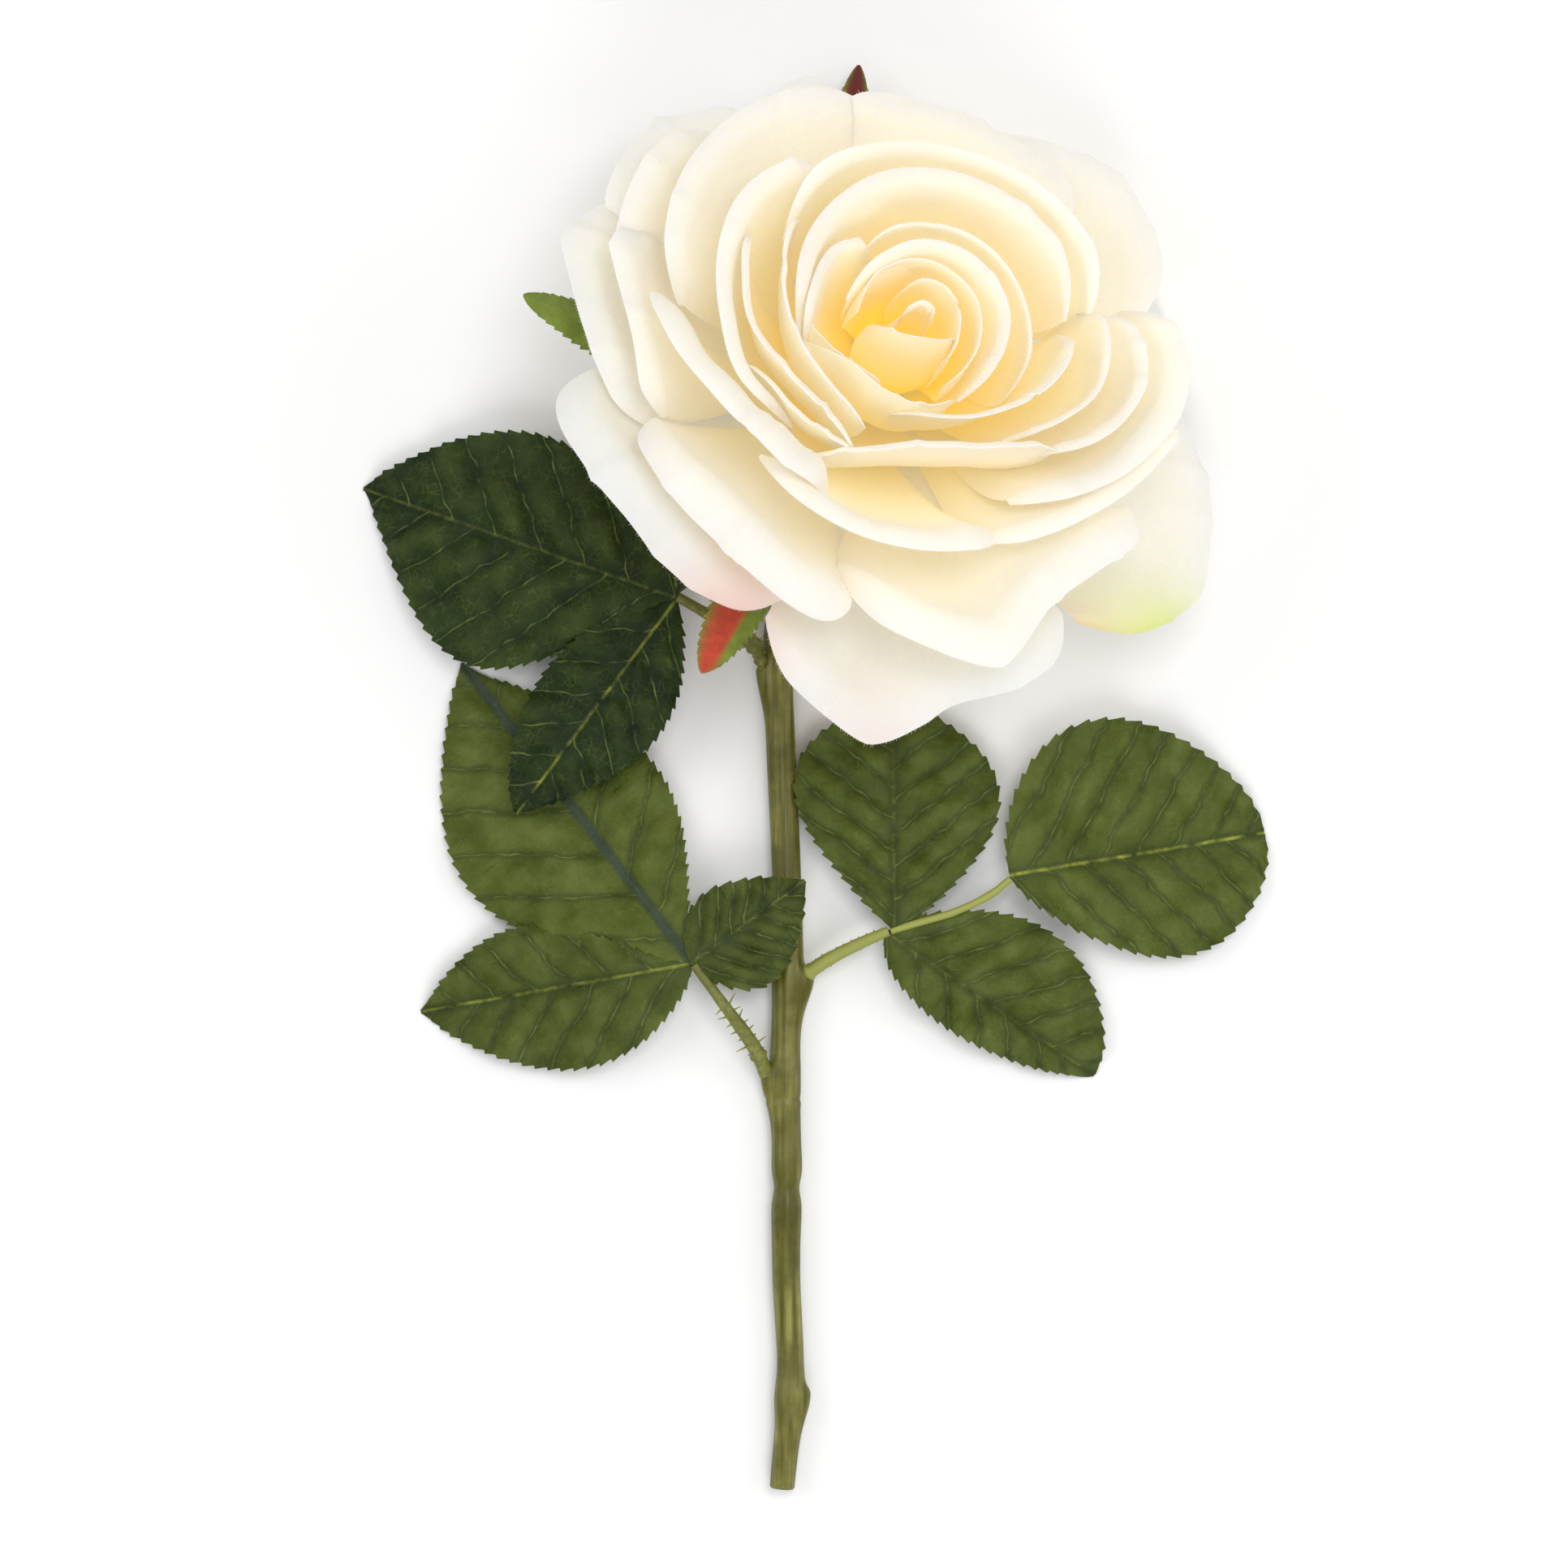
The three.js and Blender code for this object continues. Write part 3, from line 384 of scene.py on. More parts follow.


# %% [markdown]
# ## The list of petals
#
# The petals are listed ring by ring, from the bud outwards, as a maker would lay them out on the bench.
# `az` is the sweep round the axis in degrees, `reach` and `height` are the crest's radius and height at
# equal steps along it, `lip` is the rolled edge and `roll` how far it turns. `leave` and `rise` are the
# slopes at the foot and at the crest, and `fall` says how far the sides sink. Each of the `tips` is a place
# along the edge, a size and a spread. What a whole ring shares is given once. Only the last petals carry a
# second dye: each blush of `pink` or `green` is a place along the edge, a spread and a strength.

# %% Rings of petals
# The last value in each ring's shape is how much painted gold glow its petals get near the foot.
RINGS = {
    "bud_petal": dict(
        shape=dict(rise=98, leave=57, lip=0.8, roll=30, fall=0.13, ripple=0.25, creases=1, painted_glow=1.0),
        petals=[
            dict(az=[20, 170], reach=[3.4, 2.6, 3.2], height=[38, 40, 38], lip=1.5, roll=60),
            dict(az=[185, 345], reach=[9, 5.6, 5, 7.5], height=[38, 40.5, 40.5, 39], rise=103, leave=50),
            dict(az=[300, 480], reach=[9, 6.6, 6, 6, 6.6], height=[40, 41.5, 42.5, 42.5, 41.5]),
            dict(az=[292, 540], reach=[13.5, 10.6, 9, 8.4, 9, 10.6, 12.2],
                 height=[41, 43, 44, 44, 44, 43, 42]),
        ],
    ),
    "heart_petal": dict(
        shape=dict(rise=88, leave=46, lip=1.5, roll=50, fall=0.15, ripple=0.35, creases=2, painted_glow=0.85),
        petals=[
            dict(az=[298, 532], reach=[17.5, 15.4, 14.4, 12.8, 12.2, 12, 12.6, 15],
                 height=[41, 43, 44, 45, 45, 45, 44, 43], lip=2.6, roll=70, rise=80),
            dict(az=[322, 500], reach=[22, 19, 17.2, 16, 15.4, 15.4, 16.6],
                 height=[42, 44, 45, 46, 46, 46, 45], lip=1),
            dict(az=[128, 200], reach=[15.5, 20, 22, 24], height=[41, 43, 43, 40], lip=2.4, roll=80,
                 rise=75, fall=0.25),
            dict(az=[186, 244], reach=[22, 18.5, 15], height=[40, 41, 39], lip=0.6, roll=20, rise=100),
            dict(az=[196, 294], reach=[25, 19, 18.5, 18.8, 16.5], height=[41, 42, 42, 42, 41], lip=0.8,
                 rise=97),
            dict(az=[255, 362], reach=[20.5, 22, 23.5, 26, 28], height=[41, 43, 44, 44, 43], lip=2.5,
                 rise=80),
        ],
    ),
    "inner_petal": dict(
        shape=dict(rise=78, leave=40, lip=2.6, roll=66, fall=0.14, ripple=0.45, creases=2, painted_glow=0.7),
        petals=[
            dict(az=[8, 195], reach=[29.8, 28, 26.3, 25.2, 25, 25, 25.4, 25],
                 height=[43, 45, 46, 47, 47, 46, 45, 42], lip=[3, 3, 3.5, 4.2, 4.4, 4.2, 3.5], roll=85,
                 rise=75),
            dict(az=[148, 246], reach=[29.5, 28.5, 27.6, 26, 25.6], height=[46, 46, 45, 43, 41], lip=1.8,
                 rise=84),
            dict(az=[8, 156], reach=[34.6, 34.2, 32.4, 31, 31, 31.8, 30.2],
                 height=[42, 44, 45, 45, 45, 45, 44], lip=3.4),
            dict(az=[310, 372], reach=[28, 31, 34, 34, 33], height=[39, 41, 42, 43, 42], lip=2),
            dict(az=[160, 246], reach=[36, 35, 34, 31, 29.5, 30.5], height=[43, 43, 42, 42, 41, 40], lip=3),
            dict(az=[198, 250], reach=[35, 33, 32.5, 31, 28.5], height=[34, 38, 39, 38, 35], lip=2.4),
        ],
    ),
    "middle_petal": dict(
        shape=dict(rise=66, leave=30, lip=5, roll=80, fall=0.15, ripple=0.6, creases=3, painted_glow=0.5),
        petals=[
            dict(az=[318, 372], reach=[33, 38, 41, 42.5, 41, 38], height=[36, 38, 39, 40, 40, 39], lip=3,
                 rise=72),
            dict(az=[229, 325], reach=[34.5, 30, 27.6, 27.5, 30, 36], height=[28, 38, 42, 42, 41, 37],
                 lip=3, rise=88),
            dict(az=[120, 224], reach=[32, 36.5, 39, 39.5, 39, 38, 32],
                 height=[39, 41, 42, 42, 41, 38, 34], rise=72),
            dict(az=[304, 375], reach=[38, 43, 47, 50, 50, 46], height=[33, 36, 37, 38, 38, 37], lip=6),
            dict(az=[176, 246], reach=[50, 47.5, 43.5, 40.5, 38.5], height=[31, 36, 37, 36, 33], lip=8.5,
                 tips=[(0.8, 1.5, 0.1)]),
            dict(az=[224, 296], reach=[40, 43, 44, 43.5, 43, 42], height=[32, 35, 36, 35, 34, 31],
                 roll=90, rise=60),
            dict(az=[292, 350], reach=[42, 44.5, 47, 50, 53], height=[30, 33, 35, 35, 34], rise=60),
        ],
    ),
    "outer_petal": dict(
        shape=dict(rise=47, leave=22, lip=6, roll=70, fall=0.2, ripple=0.8, creases=3, painted_glow=0.3),
        petals=[
            dict(az=[95, 178], reach=[46, 49, 50, 49, 46], height=[32, 35, 36, 36, 34]),
            dict(az=[40, 110], reach=[46, 44.5, 45, 48], height=[33, 35, 36, 34]),
            dict(az=[200, 262], reach=[52, 54, 54, 54.5, 56, 54], height=[22, 27, 28, 28, 27, 22], lip=9,
                 roll=110),
            dict(az=[258, 330], reach=[46, 54, 58.5, 54, 54, 57], height=[20, 23, 26, 29, 30, 30], lip=9,
                 roll=100, tips=[(0.42, 5, 0.1)]),
            dict(az=[158, 202], reach=[53, 53, 50.5, 50], height=[26, 28, 28, 24], tips=[(0.22, 4, 0.12)]),
            dict(az=[128, 172], reach=[52, 56, 56, 54], height=[24, 28, 28, 26]),
            dict(az=[18, 92], reach=[57, 58, 53.5, 47.5, 46], height=[22, 26, 28, 28, 26], lip=8,
                 tips=[(0.35, 4, 0.1)]),
        ],
    ),
    "guard_petal": dict(
        shape=dict(rise=30, leave=12, lip=7, roll=65, fall=0.2, ripple=0.9, creases=3, painted_glow=0.15),
        petals=[
            dict(az=[70, 125], reach=[50, 53, 57, 52], height=[15, 17, 18, 16], tips=[(0.62, 3, 0.1)]),
            dict(az=[110, 158], reach=[50, 57, 59.5, 60, 57], height=[14, 18, 18, 18, 16],
                 tips=[(0.5, 3, 0.12)]),
            dict(az=[148, 200], reach=[57, 60, 55, 50], height=[14, 18, 18, 16], tips=[(0.3, 4, 0.1)]),
            dict(az=[184, 250], reach=[57, 61.5, 60.5, 58.5, 58.5, 57, 52],
                 height=[12, 16, 18, 18, 18, 17, 14], lip=11, roll=110, rise=40,
                 pink=[(0.86, 0.16, 0.9)]),
            dict(az=[248, 311], reach=[57, 62.5, 64.5, 61.5, 62, 60], height=[12, 9, 6, 9, 12, 14], roll=50,
                 rise=10, pink=[(0.38, 0.14, 0.4), (0.05, 0.1, 0.5)], tips=[(0.37, 4, 0.12)]),
            dict(az=[315, 372], reach=[62, 69, 69, 65, 57], height=[9, 10, 9, 9, 9], rise=20,
                 pink=[(0.02, 0.1, 1.0)], green=[(0.16, 0.16, 0.9)], tips=[(0.32, 3, 0.14)]),
            dict(az=[2, 40], reach=[58, 62, 60], height=[7, 9, 9], rise=24),
        ],
    ),
}
petal_total = sum(len(ring["petals"]) for ring in RINGS.values())
print("petals:", petal_total)

# %% [markdown]
# ## Threads along the cut
#
# The petals are stamped out of woven cloth, and a stamped edge sheds short threads. A hair system would be
# lost in an export, and modelling each thread by hand is hopeless. It is a thing that repeats along a path,
# so Geometry Nodes do it: the cut edge becomes a curve, the curve becomes points at a fixed spacing, and a
# thin three-sided thread stands on each point, aimed away from the cloth with some scatter.

# %% Helper for node trees
def add_node(tree, kind, **settings):
    """A node with its settings; a setting that names a socket is put on the socket."""
    node = tree.nodes.new(kind)
    for name, value in settings.items():
        if name in node.inputs and not hasattr(type(node), name):
            node.inputs[name].default_value = value
        else:
            setattr(node, name, value)
    return node


# %% The frayed edge tree
THREAD_SIDES = 3
THREAD_TAPER = 0.3
SHORTEST_SHARE = 0.2


def fray_sockets(tree):
    """The tree's named inputs and its output, in metres."""
    face = tree.interface
    face.new_socket("Geometry", in_out="INPUT", socket_type="NodeSocketGeometry")
    for name, value in (("Spacing", 0.0006), ("Length", 0.0006), ("Thickness", 0.00004), ("Scatter", 0.5)):
        face.new_socket(name, in_out="INPUT", socket_type="NodeSocketFloat").default_value = value
    face.new_socket("Seed", in_out="INPUT", socket_type="NodeSocketInt").default_value = 1
    face.new_socket("Material", in_out="INPUT", socket_type="NodeSocketMaterial")
    face.new_socket("Geometry", in_out="OUTPUT", socket_type="NodeSocketGeometry")


def make_fray_tree():
    """Turns an edge into threads: one at each even step, with its own length and a scattered aim."""
    tree = bpy.data.node_groups.new("frayed_edge", "GeometryNodeTree")
    fray_sockets(tree)
    given = add_node(tree, "NodeGroupInput")
    result = add_node(tree, "NodeGroupOutput")
    curve = add_node(tree, "GeometryNodeMeshToCurve")
    evenly = add_node(tree, "GeometryNodeResampleCurve", mode="LENGTH")
    thread = add_node(tree, "GeometryNodeMeshCone", fill_type="NONE")
    for socket, value in (("Vertices", THREAD_SIDES), ("Radius Bottom", 1.0),
                          ("Radius Top", THREAD_TAPER), ("Depth", 1.0)):
        thread.inputs[socket].default_value = value
    outward = add_node(tree, "GeometryNodeInputNamedAttribute", data_type="FLOAT_VECTOR")
    outward.inputs["Name"].default_value = "outward"
    scatter = add_node(tree, "FunctionNodeRandomValue", data_type="FLOAT_VECTOR")
    scatter.inputs["Min"].default_value = (-1.0, -1.0, -1.0)
    spread = add_node(tree, "ShaderNodeVectorMath", operation="SCALE")
    aimed = add_node(tree, "ShaderNodeVectorMath", operation="ADD")
    align = add_node(tree, "FunctionNodeAlignRotationToVector", axis="Z")
    uneven = add_node(tree, "FunctionNodeRandomValue", data_type="FLOAT")
    uneven.inputs["Min"].default_value = SHORTEST_SHARE
    uneven.inputs["Max"].default_value = 1.0
    length = add_node(tree, "ShaderNodeMath", operation="MULTIPLY")
    scale = add_node(tree, "ShaderNodeCombineXYZ")
    instances = add_node(tree, "GeometryNodeInstanceOnPoints")
    realize = add_node(tree, "GeometryNodeRealizeInstances")
    painted = add_node(tree, "GeometryNodeSetMaterial")
    for source, output, target, socket in (
        (given, "Geometry", curve, "Mesh"), (curve, "Curve", evenly, "Curve"),
        (given, "Spacing", evenly, "Length"), (given, "Seed", scatter, "Seed"),
        (given, "Seed", uneven, "Seed"), (scatter, "Value", spread, 0),
        (given, "Scatter", spread, "Scale"), (outward, "Attribute", aimed, 0),
        (spread, "Vector", aimed, 1), (aimed, "Vector", align, "Vector"),
        (given, "Length", length, 0), (uneven, "Value", length, 1),
        (given, "Thickness", scale, "X"), (given, "Thickness", scale, "Y"),
        (length, "Value", scale, "Z"), (evenly, "Curve", instances, "Points"),
        (thread, "Mesh", instances, "Instance"), (align, "Rotation", instances, "Rotation"),
        (scale, "Vector", instances, "Scale"), (instances, "Instances", realize, "Geometry"),
        (realize, "Geometry", painted, "Geometry"), (given, "Material", painted, "Material"),
        (painted, "Geometry", result, "Geometry"),
    ):
        tree.links.new(source.outputs[output], target.inputs[socket])
    return tree


FRAY = make_fray_tree()
print("tree:", FRAY.name, "with", len(FRAY.nodes), "nodes")


# %% Using a tree on a piece
def plain_result(source, tree, values):
    """What a tree makes of an object, as a plain mesh; the source object is removed."""
    modifier = source.modifiers.new(tree.name, "NODES")
    modifier.node_group = tree
    sockets = {item.name: item.identifier for item in tree.interface.items_tree if item.in_out == "INPUT"}
    for name, value in values.items():
        modifier[sockets[name]] = value
    evaluated = source.evaluated_get(bpy.context.evaluated_depsgraph_get())
    mesh = bpy.data.meshes.new_from_object(evaluated)
    source.modifiers.remove(modifier)
    bpy.data.objects.remove(source)
    return mesh


def join_mesh(piece, extra):
    """Adds a plain mesh to a piece's own mesh."""
    joined = bmesh.new()
    joined.from_mesh(piece.data)
    joined.from_mesh(extra)
    joined.to_mesh(piece.data)
    joined.free()


def cut_edge(grid, start):
    """The free edge of a sheet from one side over the top to the other, with its outward direction."""
    left = grid[start:, 0]
    right = grid[start:, -1][::-1]
    border = np.concatenate([left, grid[-1, 1:-1], right])
    outward = np.concatenate([
        grid[start:, 0] - grid[start:, 1],
        grid[-1, 1:-1] - grid[-2, 1:-1],
        (grid[start:, -1] - grid[start:, -2])[::-1],
    ])
    return border, outward / np.maximum(np.linalg.norm(outward, axis=1, keepdims=True), TINY)


def threads_on(piece, line, outward, seed, kind):
    """Joins short threads of a kind to a piece along a line, each aimed outwards."""
    mesh = bpy.data.meshes.new("edge_line")
    mesh.from_pydata((line * MM).tolist(), [(i, i + 1) for i in range(len(line) - 1)], [])
    aim = mesh.attributes.new("outward", "FLOAT_VECTOR", "POINT")
    aim.data.foreach_set("vector", outward.astype(np.float32).ravel())
    source = bpy.data.objects.new("edge_line", mesh)
    bpy.context.scene.collection.objects.link(source)
    values = {"Seed": seed, "Material": kind["material"]}
    for name in ("Length", "Spacing", "Thickness"):
        values[name] = kind[name.lower()] * MM
    threads = plain_result(source, FRAY, values)
    dye = threads.attributes.new("tone", "FLOAT_VECTOR", "POINT")
    dye.data.foreach_set("vector", np.tile(kind["tone"], len(threads.vertices)).astype(np.float32))
    join_mesh(piece, threads)


# %% [markdown]
# ## Shared effects
#
# Two effects turn up in several finishes, so each is a node group that is built once. The plain weave
# works out where the threads pass over and under from the place on the flat cloth, so it bends with the
# petal. The mottle is a soft change of shade, because dye and moulded plastic are never quite even; on the
# leaflets it also gives soft paler patches, a painted sheen.

# %% Group helpers
def new_group(name, inputs, outputs):
    """An empty shader group with named inputs and outputs, and its two end nodes."""
    tree = bpy.data.node_groups.new(name, "ShaderNodeTree")
    for label, kind, value in inputs:
        socket = tree.interface.new_socket(label, in_out="INPUT", socket_type=kind)
        if value is not None:
            socket.default_value = value
    for label, kind in outputs:
        tree.interface.new_socket(label, in_out="OUTPUT", socket_type=kind)
    return tree, tree.nodes.new("NodeGroupInput"), tree.nodes.new("NodeGroupOutput")


def maths(tree, operation, first, second=None, third=None):
    """A Math node; each operand is a number or a socket."""
    node = tree.nodes.new("ShaderNodeMath")
    node.operation = operation
    for socket, operand in zip(node.inputs, (first, second, third)):
        if operand is None:
            continue
        if isinstance(operand, (int, float)):
            socket.default_value = operand
        else:
            tree.links.new(operand, socket)
    return node.outputs[0]


def use_group(tree, group, **inputs):
    """Places a group in a material; underscores in a name stand for spaces."""
    node = tree.nodes.new("ShaderNodeGroup")
    node.node_tree = group
    for name, value in inputs.items():
        socket = node.inputs[name.replace("_", " ")]
        if isinstance(value, (int, float, tuple)):
            socket.default_value = value
        else:
            tree.links.new(value, socket)
    return node.outputs


# %% Plain weave
def make_weave_group():
    """Height of a plain weave: warp over weft in one square, weft over warp in the next."""
    tree, given, result = new_group(
        "plain_weave",
        [("Cloth", "NodeSocketVector", None), ("Pitch", "NodeSocketFloat", 0.4)],
        [("Height", "NodeSocketFloat")],
    )
    split = tree.nodes.new("ShaderNodeSeparateXYZ")
    tree.links.new(given.outputs["Cloth"], split.inputs["Vector"])
    waves = []
    for axis in ("X", "Y"):
        turns = maths(tree, "DIVIDE", split.outputs[axis], given.outputs["Pitch"])
        waves.append(maths(tree, "SINE", maths(tree, "MULTIPLY", turns, math.pi)))
    over = maths(tree, "GREATER_THAN", maths(tree, "MULTIPLY", *waves), 0.0)
    warp, weft = (maths(tree, "ABSOLUTE", wave) for wave in waves)
    lifted = maths(tree, "MULTIPLY", warp, over)
    other = maths(tree, "MULTIPLY", weft, maths(tree, "SUBTRACT", 1.0, over))
    tree.links.new(maths(tree, "ADD", lifted, other), result.inputs["Height"])
    return tree


WEAVE = make_weave_group()


# %% Mottle
def make_mottle_group():
    """A soft change of shade between a low and a high value."""
    tree, given, result = new_group(
        "soft_mottle",
        [("Place", "NodeSocketVector", None), ("Scale", "NodeSocketFloat", 80.0),
         ("Low", "NodeSocketFloat", 0.9), ("High", "NodeSocketFloat", 1.1)],
        [("Shade", "NodeSocketFloat")],
    )
    noise = tree.nodes.new("ShaderNodeTexNoise")
    noise.inputs["Detail"].default_value = 5.0
    tree.links.new(given.outputs["Place"], noise.inputs["Vector"])
    tree.links.new(given.outputs["Scale"], noise.inputs["Scale"])
    spread = tree.nodes.new("ShaderNodeMapRange")
    spread.inputs["From Min"].default_value = 0.3
    spread.inputs["From Max"].default_value = 0.7
    tree.links.new(noise.outputs["Fac"], spread.inputs["Value"])
    tree.links.new(given.outputs["Low"], spread.inputs["To Min"])
    tree.links.new(given.outputs["High"], spread.inputs["To Max"])
    tree.links.new(spread.outputs["Result"], result.inputs["Shade"])
    return tree


MOTTLE = make_mottle_group()
print("shared effects:", WEAVE.name, "and", MOTTLE.name)


# %% Material helpers
def mix_colours(tree, factor, first, second, mode="MIX"):
    """A colour mix; the factor and the colours are values or sockets."""
    node = tree.nodes.new("ShaderNodeMix")
    node.data_type = "RGBA"
    node.blend_type = mode
    for socket, value in ((node.inputs[0], factor), (node.inputs[6], first), (node.inputs[7], second)):
        if isinstance(value, tuple):
            socket.default_value = (*value, 1.0)
        elif isinstance(value, (int, float)):
            socket.default_value = value
        else:
            tree.links.new(value, socket)
    return node.outputs[2]


def attribute(tree, name):
    """A named vector attribute of the mesh."""
    node = tree.nodes.new("ShaderNodeAttribute")
    node.attribute_name = name
    return node.outputs["Vector"]


def separate(tree, vector):
    """The X, Y and Z of a vector socket."""
    node = tree.nodes.new("ShaderNodeSeparateXYZ")
    tree.links.new(vector, node.inputs["Vector"])
    return node.outputs


def bump(tree, shader, height, distance, strength):
    """Feeds a height in metres of relief to the shader's normal."""
    node = tree.nodes.new("ShaderNodeBump")
    node.inputs["Strength"].default_value = strength
    node.inputs["Distance"].default_value = distance
    tree.links.new(height, node.inputs["Height"])
    tree.links.new(node.outputs["Normal"], shader.inputs["Normal"])


def object_place(tree):
    """The place of each point on the piece, in metres."""
    return tree.nodes.new("ShaderNodeTexCoord").outputs["Object"]


# %% [markdown]
# ## Petal cloth
#
# The cloth is a fine plain weave in a cream dye. It is thin, so light comes through it and bounces about in
# the depths of the bloom. That glow is painted in: the cloth turns gold towards the foot of each petal, and
# more so in the inner rings. The `tone` of each corner says how much of this painted gold glow and of the
# pink and green dye there is. Scattering under the surface and a faint painted glow, light given off in the
# cloth's own colour and stronger in the depths, stand for the light that comes through.

# %% Petal material
CREAM = (0.945, 0.90, 0.80)
# Gold of the painted glow in the depths of the bloom.
PAINTED_GLOW_GOLD = (1.0, 0.72, 0.12)
PINK = (0.93, 0.52, 0.48)
GREEN = (0.62, 0.72, 0.20)
# Painted glow: light the cloth gives off in its own colour, some everywhere and more in the depths.
EDGE_GLOW = 0.1
DEPTH_GLOW = 0.13
SCATTER_DEPTH = 0.0016
PETAL_WEAVE = 0.36


def make_petal_material():
    """Cream cloth with painted glow; tone is how much painted gold glow, pink dye and green dye there is."""
    material, shader = plain_material("petal_cloth", CREAM, 0.85)
    tree = material.node_tree
    tone = separate(tree, attribute(tree, "tone"))
    # Painted glow: the cream turns gold where light would come through the cloth and bounce in the depths.
    glow_tinted = mix_colours(tree, tone["X"], CREAM, PAINTED_GLOW_GOLD)
    blushed = mix_colours(tree, tone["Y"], glow_tinted, PINK)
    glow_and_dye = mix_colours(tree, tone["Z"], blushed, GREEN)
    shade = use_group(tree, MOTTLE, Place=object_place(tree), Scale=60.0, Low=0.97, High=1.02)["Shade"]
    tree.links.new(mix_colours(tree, 1.0, glow_and_dye, shade, "MULTIPLY"), shader.inputs["Base Color"])
    # Painted glow: the cloth gives off light in its own colour, stronger where the painted gold glow is.
    tree.links.new(glow_and_dye, shader.inputs["Emission Color"])
    glow = maths(tree, "MULTIPLY_ADD", tone["X"], DEPTH_GLOW, EDGE_GLOW)
    tree.links.new(glow, shader.inputs["Emission Strength"])
    for socket, value in (("Subsurface Weight", 0.7), ("Subsurface Radius", (1.0, 0.8, 0.45)),
                          ("Subsurface Scale", SCATTER_DEPTH), ("Sheen Weight", 0.15),
                          ("Sheen Roughness", 0.4), ("Specular IOR Level", 0.25)):
        shader.inputs[socket].default_value = value
    weave = use_group(tree, WEAVE, Cloth=attribute(tree, "cloth"), Pitch=PETAL_WEAVE)["Height"]
    bump(tree, shader, weave, 0.00005, 0.8)
    return material


PETAL_CLOTH_MATERIAL = make_petal_material()
print("petal finish:", PETAL_CLOTH_MATERIAL.name)


# %% Make the petals
FREE_FROM = 20
# How far up from the foot the painted gold glow reaches, and how softly it fades.
GLOW_SPREAD = 1.35
GLOW_FADE = 0.75
BLUSH_FROM = 0.55
FRAYED_THREADS = dict(length=0.75, spacing=0.6, thickness=0.04, tone=(0.0, 0.0, 0.0),
                      material=PETAL_CLOTH_MATERIAL)


def petal_tone(petal, t, up):
    """Painted gold glow, pink dye and green dye at each row and column of a petal."""
    # Painted glow: gold that fades from the foot of the petal up towards its edge.
    depth = np.clip(GLOW_SPREAD * (1 - up), 0, 1)[:, None] ** GLOW_FADE
    glow_amount = petal["painted_glow"] * depth * np.ones_like(t)[None, :]
    layers = [glow_amount]
    for dye in ("pink", "green"):
        amount = np.zeros_like(glow_amount)
        for place, spread, strength in petal[dye]:
            beside = np.exp(-(((t - place) / spread) ** 2))[None, :]
            amount += strength * beside * np.clip((up - BLUSH_FROM) / (1 - BLUSH_FROM), 0, 1)[:, None] ** 2
        layers.append(np.clip(amount, 0, 1))
    return np.stack(layers, axis=-1)


def cloth_place(grid):
    """Millimetres along and across the cloth at each point of a grid."""
    across = np.zeros(grid.shape[:2])
    upward = np.zeros(grid.shape[:2])
    across[:, 1:] = np.cumsum(np.linalg.norm(np.diff(grid, axis=1), axis=2).max(axis=0))[None, :]
    upward[1:, :] = np.cumsum(np.linalg.norm(np.diff(grid, axis=0), axis=2), axis=0)
    return np.stack([across, upward, np.zeros_like(across)], axis=-1)


def finish_piece(piece, material, slot, *nodes):
    """Gives a piece its material and ties it to the frame."""
    piece.data.materials.clear()
    piece.data.materials.append(material)
    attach(piece, "root")
    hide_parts(*nodes)


def make_petal(name, petal, share, seed):
    """One petal with its threads; share is how far along the winding its foot is."""
    rng = np.random.default_rng(seed)
    grid, up = petal_grid(petal, share, rng)
    t = np.linspace(0, 1, grid.shape[1])
    piece = sheet_object(f"cloth_{name}", grid, PETAL_CLOTH, cloth_place(grid), petal_tone(petal, t, up))
    threads_on(piece, *cut_edge(grid, FREE_FROM), seed, FRAYED_THREADS)
    finish_piece(piece, PETAL_CLOTH_MATERIAL, "petal", name)


petal_count = 0
for ring_name, ring in RINGS.items():
    for number, own in enumerate(ring["petals"], start=1):
        full = {"tips": [], "pink": [], "green": [], **ring["shape"], **own}
        make_petal(f"{ring_name}_{number}", full, petal_count / (petal_total - 1), petal_count + 1)
        petal_count += 1
print("petals made:", petal_count)

# %% [markdown]
# ## Leaf cloth
#
# The leaflets are cloth too, printed green and pressed in a mould, so that they have a midrib, side veins
# and a crinkled, quilted surface between them. The print shows a fine net of pale veins that no mesh could
# carry, and the big veins have to line up with the pressed creases. So both read the same `cloth` place:
# millimetres along and across the flat leaf, and the spacing of the side veins. Light and shade on the
# pressed relief are painted in too: the high spots are painted paler and the hollows darker, so the `tone`
# follows the relief; the grooves get painted shade, and soft patches a painted sheen.

# %% Vein mask
VEIN_SLOPE = 0.75
WANDER_SCALE = 0.16
WANDER = 4.0
NET_WIDTH = 0.08


